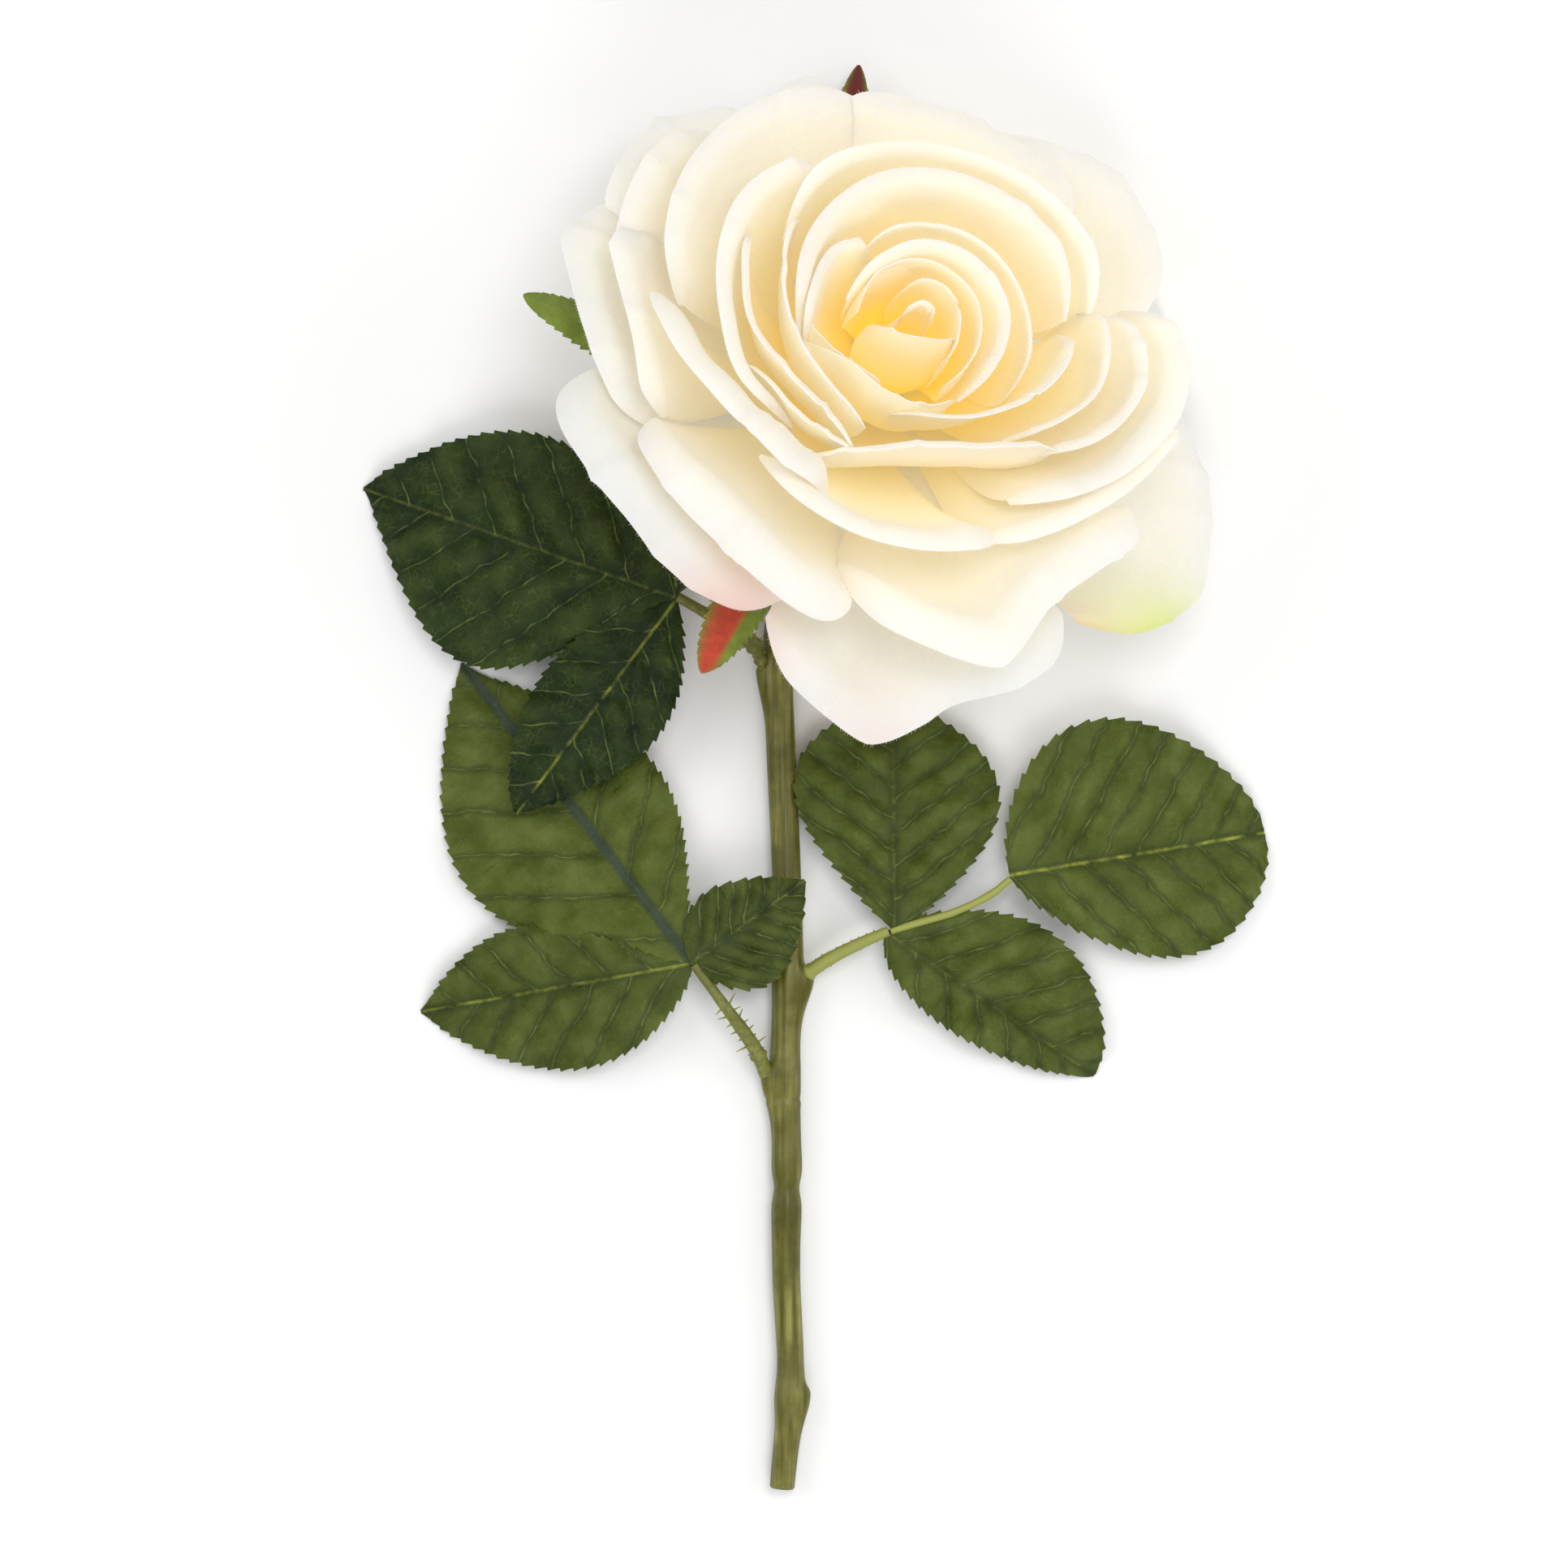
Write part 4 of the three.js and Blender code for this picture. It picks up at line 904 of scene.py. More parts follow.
def make_vein_group():
    """How near a place on a leaf is to its midrib, to a side vein and to the fine net, from 0 to 1."""
    tree, given, result = new_group(
        "leaf_veins",
        [("Cloth", "NodeSocketVector", None), ("Midrib", "NodeSocketFloat", 0.5),
         ("Vein", "NodeSocketFloat", 0.3), ("Net", "NodeSocketFloat", 0.7)],
        [("Midrib", "NodeSocketFloat"), ("Vein", "NodeSocketFloat"), ("Net", "NodeSocketFloat")],
    )
    place = separate(tree, given.outputs["Cloth"])
    aside = maths(tree, "ABSOLUTE", place["Y"])
    wander = tree.nodes.new("ShaderNodeTexNoise")
    wander.inputs["Scale"].default_value = WANDER_SCALE
    tree.links.new(given.outputs["Cloth"], wander.inputs["Vector"])
    drift = maths(tree, "MULTIPLY", maths(tree, "SUBTRACT", wander.outputs["Fac"], 0.5), WANDER)
    straight = maths(tree, "SUBTRACT", place["X"], maths(tree, "MULTIPLY", aside, VEIN_SLOPE))
    bent = maths(tree, "ADD", straight, drift)
    half_step = maths(tree, "MULTIPLY", maths(tree, "GREATER_THAN", place["Y"], 0.0), 0.5)
    turns = maths(tree, "ADD", maths(tree, "DIVIDE", bent, place["Z"]), half_step)
    away = maths(tree, "ABSOLUTE", maths(tree, "SUBTRACT", turns, maths(tree, "ROUND", turns)))
    side_vein = maths(tree, "MULTIPLY", away, place["Z"])
    flat = tree.nodes.new("ShaderNodeCombineXYZ")
    tree.links.new(place["X"], flat.inputs["X"])
    tree.links.new(place["Y"], flat.inputs["Y"])
    cells = tree.nodes.new("ShaderNodeTexVoronoi")
    cells.feature = "DISTANCE_TO_EDGE"
    cells.inputs["Randomness"].default_value = 0.9
    tree.links.new(flat.outputs["Vector"], cells.inputs["Vector"])
    tree.links.new(given.outputs["Net"], cells.inputs["Scale"])
    for label, distance, width in (("Midrib", aside, given.outputs["Midrib"]),
                                   ("Vein", side_vein, given.outputs["Vein"]),
                                   ("Net", cells.outputs["Distance"], NET_WIDTH)):
        near = maths(tree, "DIVIDE", distance, width)
        faded = maths(tree, "MAXIMUM", maths(tree, "SUBTRACT", 1.0, near), 0.0)
        tree.links.new(faded, result.inputs[label])
    return tree


VEINS = make_vein_group()
print("vein mask:", VEINS.name)


# %% Leaf material
def paint(red, green, blue):
    """A linear colour from the usual 0 to 255 values."""
    return tuple((value / 255 / 12.92 if value <= 10 else ((value / 255 + 0.055) / 1.055) ** 2.4)
                 for value in (red, green, blue))


LEAF_DEEP = paint(10, 27, 0)
# Also the paler end of the painted sheen patches on dark leaflets.
LEAF_DARK = paint(34, 53, 9)
LEAF_OLIVE = paint(70, 82, 12)
# Paler end of the painted sheen patches on olive leaflets.
PAINTED_SHEEN_OLIVE = paint(96, 107, 46)
LEAF_NET = paint(132, 146, 66)
LEAF_RIB = paint(158, 164, 62)
# Blue-grey painted shade along the midrib's crease.
LEAF_BLUE = paint(56, 68, 62)
# Painted shade in the grooves of the midrib and side veins.
LEAF_PAINTED_SHADE = paint(20, 34, 14)
LEAF_WEAVE = 0.34


def make_leaf_material():
    """Printed leaf cloth with painted shade and sheen; tone is how olive it is, how blue its painted midrib
    shade and how yellow its midrib.
    """
    material, shader = plain_material("leaf_cloth", LEAF_DARK, 0.45)
    tree = material.node_tree
    tone = separate(tree, attribute(tree, "tone"))
    cloth = attribute(tree, "cloth")

    def faded(mask, amount):
        return maths(tree, "MULTIPLY", mask, amount)

    veins = use_group(tree, VEINS, Cloth=cloth, Midrib=0.5, Vein=0.26, Net=0.75)
    crease = use_group(tree, VEINS, Cloth=cloth, Midrib=1.5, Vein=1.3)
    # Painted sheen: soft random patches are painted paler, as sheen on the quilting.
    patches = use_group(tree, MOTTLE, Place=object_place(tree), Scale=170.0, Low=-0.05, High=1.05)["Shade"]
    broken = use_group(tree, MOTTLE, Place=cloth, Scale=0.35, Low=-0.2, High=1.0)["Shade"]
    faint = maths(tree, "MAXIMUM", broken, 0.0)
    dark = mix_colours(tree, patches, LEAF_DEEP, LEAF_DARK)
    olive = mix_colours(tree, patches, LEAF_OLIVE, PAINTED_SHEEN_OLIVE)
    ground = mix_colours(tree, tone["X"], dark, olive)
    netted = mix_colours(tree, faded(veins["Net"], faded(faint, 0.2)), ground, LEAF_NET)
    # Painted shade: the grooves of the midrib and side veins are painted darker.
    groove = faded(maths(tree, "MAXIMUM", crease["Vein"], crease["Midrib"]), 0.5)
    shaded = mix_colours(tree, groove, netted, LEAF_PAINTED_SHADE)
    veined = mix_colours(tree, faded(veins["Vein"], faded(faint, 0.75)), shaded, LEAF_NET)
    # Painted shade: a blue-grey shade painted along the midrib's crease.
    blued = mix_colours(tree, faded(crease["Midrib"], tone["Y"]), veined, LEAF_BLUE)
    ribbed = mix_colours(tree, faded(veins["Midrib"], faded(tone["Z"], faint)), blued, LEAF_RIB)
    tree.links.new(ribbed, shader.inputs["Base Color"])
    shader.inputs["Specular IOR Level"].default_value = 0.2
    weave = use_group(tree, WEAVE, Cloth=cloth, Pitch=LEAF_WEAVE)["Height"]
    bump(tree, shader, maths(tree, "ADD", faded(weave, 0.6), veins["Net"]), 0.00006, 0.8)
    return material


LEAF_CLOTH_MATERIAL = make_leaf_material()
print("leaf finish:", LEAF_CLOTH_MATERIAL.name)

# %% [markdown]
# ## The leaflets
#
# Each leaflet is a grid again, but its rows run out to a saw-toothed edge. Both halves of the outline are
# one formula with a width and two powers, and the teeth are a saw wave added along it, so there is no
# outline to draw. The points are moved up and down for the fold at the midrib, the pressed veins, the
# quilting between them, the crinkle and the wavy rim. No point goes below the table.

# %% Leaf sizes
LEAF_CLOTH = 0.34
TOOTH_PITCH = 2.2
TOOTH_DEPTH = 0.75
ROWS_PER_TOOTH = 6
HALF_COLUMNS = 19
BASE_HALF = 0.6
SIDE_DROOP = 1.4
RIB_FOLD = 0.7
FOOT_OVERLAP = 1.6
# How much paler the raised quilting is painted and how much darker the hollows: painted light and shade.
PAINTED_QUILT_LIGHT = 0.16
OUTLINE_SHARE = 1.15
TOOTH_CURVE = 1.4
TOOTH_LEAN = (0.85, 0.5)
TOOTHED_FROM = 1.5
TOOTH_FADE = 3
RIB_PRESS = 0.35
QUILT = 1.1
VEIN_WANDER = (18.0, 0.14)
CRINKLES = ((9.0, 0.4), (3.5, 0.13))
RIM_WAVES = 3.2
RIM_HEIGHT = 0.6
VEINS_A_SIDE = 7


def half_width(shape, u):
    """Half the width of a leaflet at u, from its base (0) to its tip (1)."""
    width, lean, fullness = shape
    outline = np.sin(math.pi * np.clip(u, 0, 1) ** lean) ** fullness
    return np.maximum(BASE_HALF * (1 - 0.6 * u), width * outline)


def toothed_outline(length, shape, rows, pitch_rows, depth):
    """One half of a saw-toothed outline, from base to tip, as distances along and across the leaf."""
    dense = (1 - np.cos(np.linspace(0, math.pi, 400))) / 2
    across = half_width(shape, dense)
    run = np.concatenate([[0], np.cumsum(np.hypot(np.diff(dense * length), np.diff(across)))])
    u = np.interp(np.linspace(0, run[-1], rows), run, dense)
    edge = np.stack([u * length, half_width(shape, u)], axis=1)
    ahead = np.gradient(edge, axis=0)
    ahead /= np.maximum(np.linalg.norm(ahead, axis=1, keepdims=True), TINY)
    outward = np.stack([-ahead[:, 1], ahead[:, 0]], axis=1)
    bite = (np.arange(rows) % pitch_rows) / (pitch_rows - 1)
    tooth = depth * bite**TOOTH_CURVE * np.clip((edge[:, 1] - TOOTHED_FROM) / TOOTH_FADE, 0, 1)
    return edge + tooth[:, None] * (TOOTH_LEAN[0] * outward + TOOTH_LEAN[1] * ahead)


def flat_leaf(length, left, right, depth):
    """Distances along and across a flat leaf at each row and column, and how far out each column is."""
    teeth = int(OUTLINE_SHARE * length / TOOTH_PITCH)
    rows = teeth * ROWS_PER_TOOTH + 1
    edges = [toothed_outline(length, shape, rows, ROWS_PER_TOOTH, depth) for shape in (right, left)]
    rib = np.stack([(edges[0][:, 0] + edges[1][:, 0]) / 2, np.zeros(rows)], axis=1)
    out = np.linspace(-1, 1, 2 * HALF_COLUMNS + 1)
    share = np.abs(out)[None, :, None] ** 0.9
    side = np.where(out[None, :, None] < 0, edges[0][:, None, :] * (1, -1), edges[1][:, None, :])
    return rib[:, None, :] * (1 - share) + side * share, out


def wrinkle(rng, x, y, wavelength, count=9):
    """A smooth random relief of about unit height."""
    total = np.zeros_like(x)
    for _ in range(count):
        heading = rng.uniform(0, 2 * math.pi)
        wave = 2 * math.pi / (wavelength * rng.uniform(0.7, 1.6))
        total += np.sin(wave * (x * math.cos(heading) + y * math.sin(heading)) + rng.uniform(0, 2 * math.pi))
    return total / math.sqrt(count)


# %% One leaflet
def leaf_relief(rng, x, y, out, length, pitch):
    """Fold, pressed veins, quilting, crinkle and wavy rim of a leaflet, in millimetres."""
    straight = (x - VEIN_SLOPE * np.abs(y)) / pitch + 0.5 * (y > 0)
    phase = straight + VEIN_WANDER[1] * wrinkle(rng, x, y, VEIN_WANDER[0])
    away = np.abs(phase - np.round(phase))
    inner = 1 - np.exp(-((y / 2.5) ** 2))
    flatter = 1 - 0.6 * np.abs(out)[None, :] ** 2
    relief = RIB_FOLD * inner - RIB_PRESS * np.exp(-((y / 0.6) ** 2))
    relief = relief + QUILT * inner * (np.sin(math.pi * away) - 0.6) * flatter
    for wavelength, size in CRINKLES:
        relief = relief + size * wrinkle(rng, x, y, wavelength)
    turns = RIM_WAVES * x / length + rng.random()
    rim = np.sin(2 * math.pi * turns + 2 * np.sign(y)) * np.abs(out)[None, :] ** 3
    return relief + RIM_HEIGHT * rim


def make_leaflet(name, leaflet, seed):
    """One leaflet: flat first, then pressed, arched and put at the end of its stalk."""
    rng = np.random.default_rng(seed)
    length = leaflet["length"]
    pitch = length / VEINS_A_SIDE
    flat, out = flat_leaf(length, leaflet["left"], leaflet["right"], TOOTH_DEPTH)
    x, y = flat[..., 0], flat[..., 1]
    u = np.clip(x / length, 0, 1)
    height = leaflet["base"] + (leaflet["tip"] - leaflet["base"]) * u + 4 * leaflet["arch"] * u * (1 - u)
    height = height - SIDE_DROOP * out[None, :] ** 2 * np.sin(math.pi * u)
    relief = leaf_relief(rng, x, y, out, length, pitch)
    height = height + relief * np.clip(4 * u, 0, 1)
    heading = math.radians(leaflet["heading"])
    forward = np.array([math.cos(heading), math.sin(heading), 0.0])
    leftward = np.array([-math.sin(heading), math.cos(heading), 0.0])
    start = GROUND + np.array([leaflet["at"][0], STEM_LENGTH + leaflet["at"][1], 0.0])
    start = start - FOOT_OVERLAP * (1 - u)[..., None] * forward
    grid = start + x[..., None] * forward + y[..., None] * leftward
    grid[..., 2] = above_table(height, LEAF_CLOTH)
    cloth = np.stack([x, y, np.full_like(x, pitch)], axis=-1)
    tone = np.broadcast_to(np.array(leaflet["tone"]), grid.shape).copy()
    # Painted light and shade: the raised quilting is painted paler and its hollows darker.
    tone[..., 0] = np.clip(tone[..., 0] + PAINTED_QUILT_LIGHT * (relief - np.median(relief)), 0, 1)
    piece = sheet_object(f"cloth_{name}", grid, LEAF_CLOTH, cloth, tone)
    finish_piece(piece, LEAF_CLOTH_MATERIAL, "leaf", name)


# %% [markdown]
# ## Where the sprays are
#
# Places are millimetres from the stem's neck: to the side, along the stem and up from the table. `petiole`
# and `stalk` are the points that a stalk runs through, with its `radii`, its raised `collars` and its
# `hairs` (start, end and length). A leaflet starts `at` a place and points to a `heading` in degrees.
# `left` and `right` are the widths and powers of its two halves, `base`, `tip` and `arch` its heights. Its
# `tone` says how olive it is, how blue its midrib's shade is and how yellow the midrib is.

# %% List of sprays
STEM_LENGTH = 160.0
SPRAYS = {
    "upper": dict(
        petiole=[(-3.4, -8, 3.6), (-5.4, -3.4, 8), (-13, 1.6, 12), (-19.2, 5.2, 13)],
        radii=[0.75, 1.5, 1.1, 0.9], collars=[0.1, 0.26], hairs=(0.15, 0.6, 1.2), green=0.1,
        leaflets=dict(
            terminal=dict(at=(-20.6, 5.4), heading=160.5, length=60.8, left=(24, 1.07, 1.2),
                          right=(20, 1.04, 0.87), base=13, tip=0.3, arch=3, tone=(0.1, 0.0, 0.35)),
            side=dict(at=(-20.3, 3.6), heading=-126.8, length=48, left=(12.1, 0.87, 1),
                      right=(11.2, 1.01, 0.7), base=12, tip=8, arch=2, tone=(0.0, 0.0, 0.9)),
            hidden=dict(at=(-19.6, 7.2), heading=92, length=44, left=(11.2, 1, 0.8),
                        right=(12, 0.9, 0.9), base=12.4, tip=3, arch=3, tone=(0.1, 0.2, 0.5)),
        ),
    ),
    "lower": dict(
        petiole=[(-2.9, -83, 4), (-5.2, -78, 6.4), (-12, -68.4, 8), (-16.2, -62.6, 8.4)],
        radii=[1.4, 1.3, 1.05, 0.9], collars=[0.17], hairs=(0.2, 0.62, 2.2), green=0.2,
        leaflets=dict(
            terminal=dict(at=(-17.6, -60.8), heading=127.8, length=68.5, left=(24.4, 1.03, 0.95),
                          right=(16.5, 0.93, 1.3), base=8.4, tip=0.3, arch=-0.6, tone=(0.95, 0.9, 0.1)),
            side=dict(at=(-18, -62.6), heading=-169.7, length=50, left=(15.3, 0.86, 0.85),
                      right=(12, 1.3, 1), base=7.8, tip=0.3, arch=2, tone=(0.7, 0.0, 0.9)),
            small=dict(at=(-15.6, -61.4), heading=36, length=24.5, left=(8.6, 0.7, 0.9),
                       right=(11.4, 0.75, 0.9), base=8.8, tip=9, arch=0.8, tone=(0.55, 0.1, 0.3)),
        ),
    ),
    "right": dict(
        petiole=[(4.4, -64.4, 4), (9, -61.4, 5.2), (15, -58.4, 6), (19.7, -56.4, 6.4)],
        radii=[1.3, 1.25, 1.15, 0.9], collars=[0.04], hairs=(0.08, 0.95, 0.35), green=0.85,
        stalk=[(20.2, -56.4, 6.2), (24, -55.2, 6.6), (32, -52.8, 7.4), (38.6, -49.6, 7.6),
               (42.2, -46.8, 7.2)],
        leaflets=dict(
            terminal=dict(at=(43.6, -45.8), heading=9.3, length=46.7, left=(25.5, 0.8, 0.6),
                          right=(19.8, 1.45, 0.5), base=7.2, tip=0.3, arch=3, tone=(0.86, 0.0, 1.4)),
            side=dict(at=(20.6, -57.6), heading=-34.6, length=45.5, left=(17, 1.12, 0.6),
                      right=(7.9, 0.75, 0.73), base=6.2, tip=0.3, arch=2.4, tone=(0.78, 0.0, 0.3)),
            upper=dict(at=(20.8, -55), heading=90.4, length=40.5, left=(18.2, 1.6, 0.6),
                       right=(19.4, 1.28, 0.66), base=6.6, tip=2, arch=2, tone=(0.72, 0.0, 0.3)),
        ),
    ),
}

# %% Make the leaflets
FIRST_LEAF_SEED = 100
leaf_seed = FIRST_LEAF_SEED
for spray_name, spray in SPRAYS.items():
    for part, leaflet in spray["leaflets"].items():
        make_leaflet(f"{spray_name}_leaflet_{part}", leaflet, leaf_seed)
        leaf_seed += 1
print("leaflets made:", leaf_seed - FIRST_LEAF_SEED)

# %% [markdown]
# ## Stem and stalks
#
# The stem is soft plastic moulded over a wire, and each spray has a thin moulded stalk that plugs into a
# socket on it. A curve with a bevel would give a pipe. A moulded stem is not a pipe: it swells at the
# nodes, has a seam on each side where the mould closed, a ring where two halves of the mould met and
# sockets on one side only. So the rod is made ring by ring, with a radius that depends on the distance
# along it and the angle round it.


# %% A smooth curve through chosen points
SPAN_POINTS = 60


def smooth_path(points, count):
    """Evenly spaced points on a smooth curve through unevenly spaced ones, and the curve's length."""
    points = np.asarray(points, float)
    ends = 2 * points[[0, -1]] - points[[1, -2]]
    padded = np.concatenate([ends[:1], points, ends[1:]])
    knots = np.concatenate([[0.0], np.cumsum(np.linalg.norm(np.diff(padded, axis=0), axis=1) ** 0.5)])
    spans = [curve_span(padded[i:i + 4], knots[i:i + 4]) for i in range(len(points) - 1)]
    dense = np.concatenate(spans + [points[-1:]])
    run = np.concatenate([[0.0], np.cumsum(np.linalg.norm(np.diff(dense, axis=0), axis=1))])
    even = np.linspace(0, run[-1], count)
    return np.stack([np.interp(even, run, dense[:, axis]) for axis in range(3)], axis=1), run[-1]


def curve_span(corner, knot):
    """The stretch between the two middle points of four."""
    t = np.linspace(knot[1], knot[2], SPAN_POINTS, endpoint=False)[:, None]

    def blend(first, second, a, b):
        return ((b - t) * first + (t - a) * second) / (b - a)

    near = [blend(corner[i], corner[i + 1], knot[i], knot[i + 1]) for i in range(3)]
    far = [blend(near[i], near[i + 1], knot[i], knot[i + 2]) for i in range(2)]
    return blend(far[0], far[1], knot[1], knot[2])


# %% A rod of any radius
UPWARD = np.array([0.0, 0.0, 1.0])


def rod_frames(path):
    """Unit vectors ahead, sideways and upwards along a path, turned as little as possible."""
    ahead = np.gradient(path, axis=0)
    ahead /= np.linalg.norm(ahead, axis=1, keepdims=True)
    side = np.empty_like(path)
    side[0] = np.cross(ahead[0], UPWARD)
    side[0] /= np.linalg.norm(side[0])
    for i in range(1, len(path)):
        side[i] = side[i - 1] - side[i - 1].dot(ahead[i]) * ahead[i]
        side[i] /= np.linalg.norm(side[i])
    return ahead, side, np.cross(side, ahead)


def rod_object(name, path, radii, tone):
    """A closed rod; radii has a row for each point of the path and a column for each angle round it.

    The tone says how much of the paler plastic shows.
    """
    count, sides = radii.shape
    ahead, side, up = rod_frames(path)
    angle = np.linspace(0, 2 * math.pi, sides, endpoint=False)
    spoke = np.cos(angle)[None, :, None] * side[:, None, :] + np.sin(angle)[None, :, None] * up[:, None, :]
    points = (path[:, None, :] + radii[..., None] * spoke).reshape(-1, 3)
    index = np.arange(count * sides).reshape(count, sides)
    turned = np.roll(index, -1, axis=1)
    walls = np.stack([index[:-1], index[1:], turned[1:], turned[:-1]], axis=-1).reshape(-1, 4)
    faces = walls.tolist() + [index[0].tolist(), index[-1][::-1].tolist()]
    return mesh_object(name, points, faces, np.tile((tone, 0.0, 0.0), (len(points), 1)))


# %% Moulded plastic
STREAK_SCALE = 900.0
PATCH_SCALE = 140.0


def make_moulding(name, deep, pale, roughness, streak):
    """Moulded plastic, deep or pale as its tone says; a small streak draws its flecks out lengthwise."""
    material, shader = plain_material(name, deep, roughness)
    tree = material.node_tree
    stretch = tree.nodes.new("ShaderNodeMapping")
    stretch.inputs["Scale"].default_value = (1.0, streak, 1.0)
    tree.links.new(object_place(tree), stretch.inputs["Vector"])
    place = stretch.outputs["Vector"]
    streaks = use_group(tree, MOTTLE, Place=place, Scale=STREAK_SCALE, Low=0.0, High=1.0)["Shade"]
    patches = use_group(tree, MOTTLE, Place=object_place(tree), Scale=PATCH_SCALE, Low=0.0, High=1.1)["Shade"]
    tint = mix_colours(tree, separate(tree, attribute(tree, "tone"))["X"], deep, pale)
    light = mix_colours(tree, 0.75, tint, pale)
    body = mix_colours(tree, maths(tree, "MULTIPLY", streaks, patches), tint, light)
    tree.links.new(body, shader.inputs["Base Color"])
    for socket, value in (("Specular IOR Level", 0.3), ("Coat Weight", 0.15), ("Coat Roughness", 0.3)):
        shader.inputs[socket].default_value = value
    bump(tree, shader, streaks, 0.00008, 0.6)
    return material


STEM_MATERIAL = make_moulding("stem_moulding", paint(78, 76, 8), paint(164, 160, 88), 0.36, 0.05)
PETIOLE_MATERIAL = make_moulding("petiole_moulding", paint(74, 74, 22), paint(154, 160, 78), 0.5, 1.0)
print("plastic finishes:", STEM_MATERIAL.name, "and", PETIOLE_MATERIAL.name)

# %% The stem
UPPER_NODE = 8.0
RIGHT_NODE = 65.0
LOWER_NODE = 83.0
MOULD_RING = 87.5
PINCH = 104.0
OLD_SCAR = 143.0
NECK_RUN_SHARE = 0.6
STEM_STEP = 0.45
STEM_SIDES = 48
SWAY = [0, 1.6, 0.8, 0.9, 0.6, 1.2, 0.6, -0.3, -0.5]
SWELLS = [(UPPER_NODE, 4, 0.2), (RIGHT_NODE, 4, 0.3), (LOWER_NODE, 5, 0.2), (PINCH, 2, -0.4),
          (PINCH - 4, 3, 0.15), (PINCH + 5, 4, 0.15), (OLD_SCAR, 4, NODE_SWELL), (MOULD_RING, 0.4, -0.14),
          (MOULD_RING + 1, 0.5, 0.08)]
SOCKETS = [(RIGHT_NODE - 0.5, 1.9, 0.0), (LOWER_NODE, 1.7, math.pi), (UPPER_NODE, 1.1, math.pi),
           (OLD_SCAR - 1.0, 0.9, 0.0)]
SEAMS = (0.25, math.pi - 0.25)
SEAM_HEIGHT = 0.09
SEAM_WIDTH = 0.08
END_TAPER = 0.16
TAPER_RUN = 60
CUT_BEVEL = 0.35
STEM_SEED = 7


def stem_path():
    """The stem's centre line, from the cut end up to the calyx."""
    level = STEM_RADIUS + NODE_SWELL
    downs = np.linspace(STEM_LENGTH, 0, 9)
    points = [GROUND + np.array([sway, STEM_LENGTH - down, level]) for sway, down in zip(SWAY, downs)]
    calyx_end = BLOOM - (CALYX_DEPTH - 0.4) * AXIS
    middle = points[-1] + NECK_RUN_SHARE * (calyx_end - points[-1])
    middle[2] = level
    return points + [middle, calyx_end - STEM_RADIUS * AXIS, calyx_end]


def stem_radii(down, angle, rng):
    """The stem's radius at distances down from the neck and angles round it."""
    even = STEM_RADIUS * (1 - END_TAPER * np.clip((down - PINCH) / TAPER_RUN, 0, 1))
    for centre, width, size in SWELLS:
        even = even + size * np.exp(-(((down - centre) / width) ** 2))
    radii = even[:, None] + 0.05 * ripple(rng, angle / (2 * math.pi) * 2, 4)[None, :]
    for place, size, direction in SOCKETS:
        above = np.clip((place - down) / 1.4, 0, None)
        below = np.clip((down - place) / 6.5, 0, None)
        lump = size * np.exp(-(above**2) - below**2)[:, None]
        radii = radii + lump * np.clip(np.cos(angle - direction), 0, 1)[None, :] ** 5
    for seam in SEAMS:
        radii = radii + SEAM_HEIGHT * np.exp(-(((angle - seam) / SEAM_WIDTH) ** 2))[None, :]
    return radii


def make_stem():
    """The whole moulded stem, from the cut end to the calyx."""
    rng = np.random.default_rng(STEM_SEED)
    points = stem_path()
    length = smooth_path(points, 2)[1]
    count = int(length / STEM_STEP)
    path = smooth_path(points, count)[0]
    angle = np.linspace(0, 2 * math.pi, STEM_SIDES, endpoint=False)
    down = STEM_LENGTH - np.linspace(0, length, count)
    radii = stem_radii(down, angle, rng)
    radii[0] -= CUT_BEVEL
    piece = rod_object("moulded_stem", path, radii, 0.0)
    finish_piece(piece, STEM_MATERIAL, "stem", "stem")
    print("stem length, mm:", round(length, 1))


make_stem()


# %% Leaf stalks with collars and hairs
STALK_STEP = 0.25
STALK_SIDES = 20
STALK_RADIUS = 0.7
COLLAR = 0.35
COLLAR_WIDTH = 0.45
HAIR_ROOT = 0.05
PETIOLE_SEED = 200
STALK_SEED = 210
HAIRS = dict(spacing=1.5, thickness=0.26, tone=(1.0, 0.0, 0.0), material=PETIOLE_MATERIAL)


def make_stalk(name, points, radii, collars, hairs, green, seed):
    """A thin moulded stalk; collars are places along it, hairs a start, an end and a length."""
    rng = np.random.default_rng(seed)
    world = GROUND + np.array(points, float) + np.array([0.0, STEM_LENGTH, 0.0])
    length = smooth_path(world, 2)[1]
    count = int(length / STALK_STEP)
    path = smooth_path(world, count)[0]
    t = np.linspace(0, 1, count)
    angle = np.linspace(0, 2 * math.pi, STALK_SIDES, endpoint=False)
    radius = along(radii, t)
    for place in collars:
        radius = radius + COLLAR * np.exp(-(((t - place) * length / COLLAR_WIDTH) ** 4))
    grid = radius[:, None] * (1 + 0.05 * np.cos(3 * angle))[None, :]
    grid = grid + 0.04 * ripple(rng, t, 14, 0.3)[:, None]
    piece = rod_object(f"moulded_{name}", path, grid, green)
    if hairs:
        first, last, hair = hairs
        side = rod_frames(path)[1]
        chosen = (t >= first) & (t <= last)
        for sign in (1, -1):
            line = path[chosen] + sign * side[chosen] * (radius[chosen, None] - HAIR_ROOT)
            threads_on(piece, line, sign * side[chosen], seed, dict(HAIRS, length=hair))
    finish_piece(piece, PETIOLE_MATERIAL, "petiole", name)


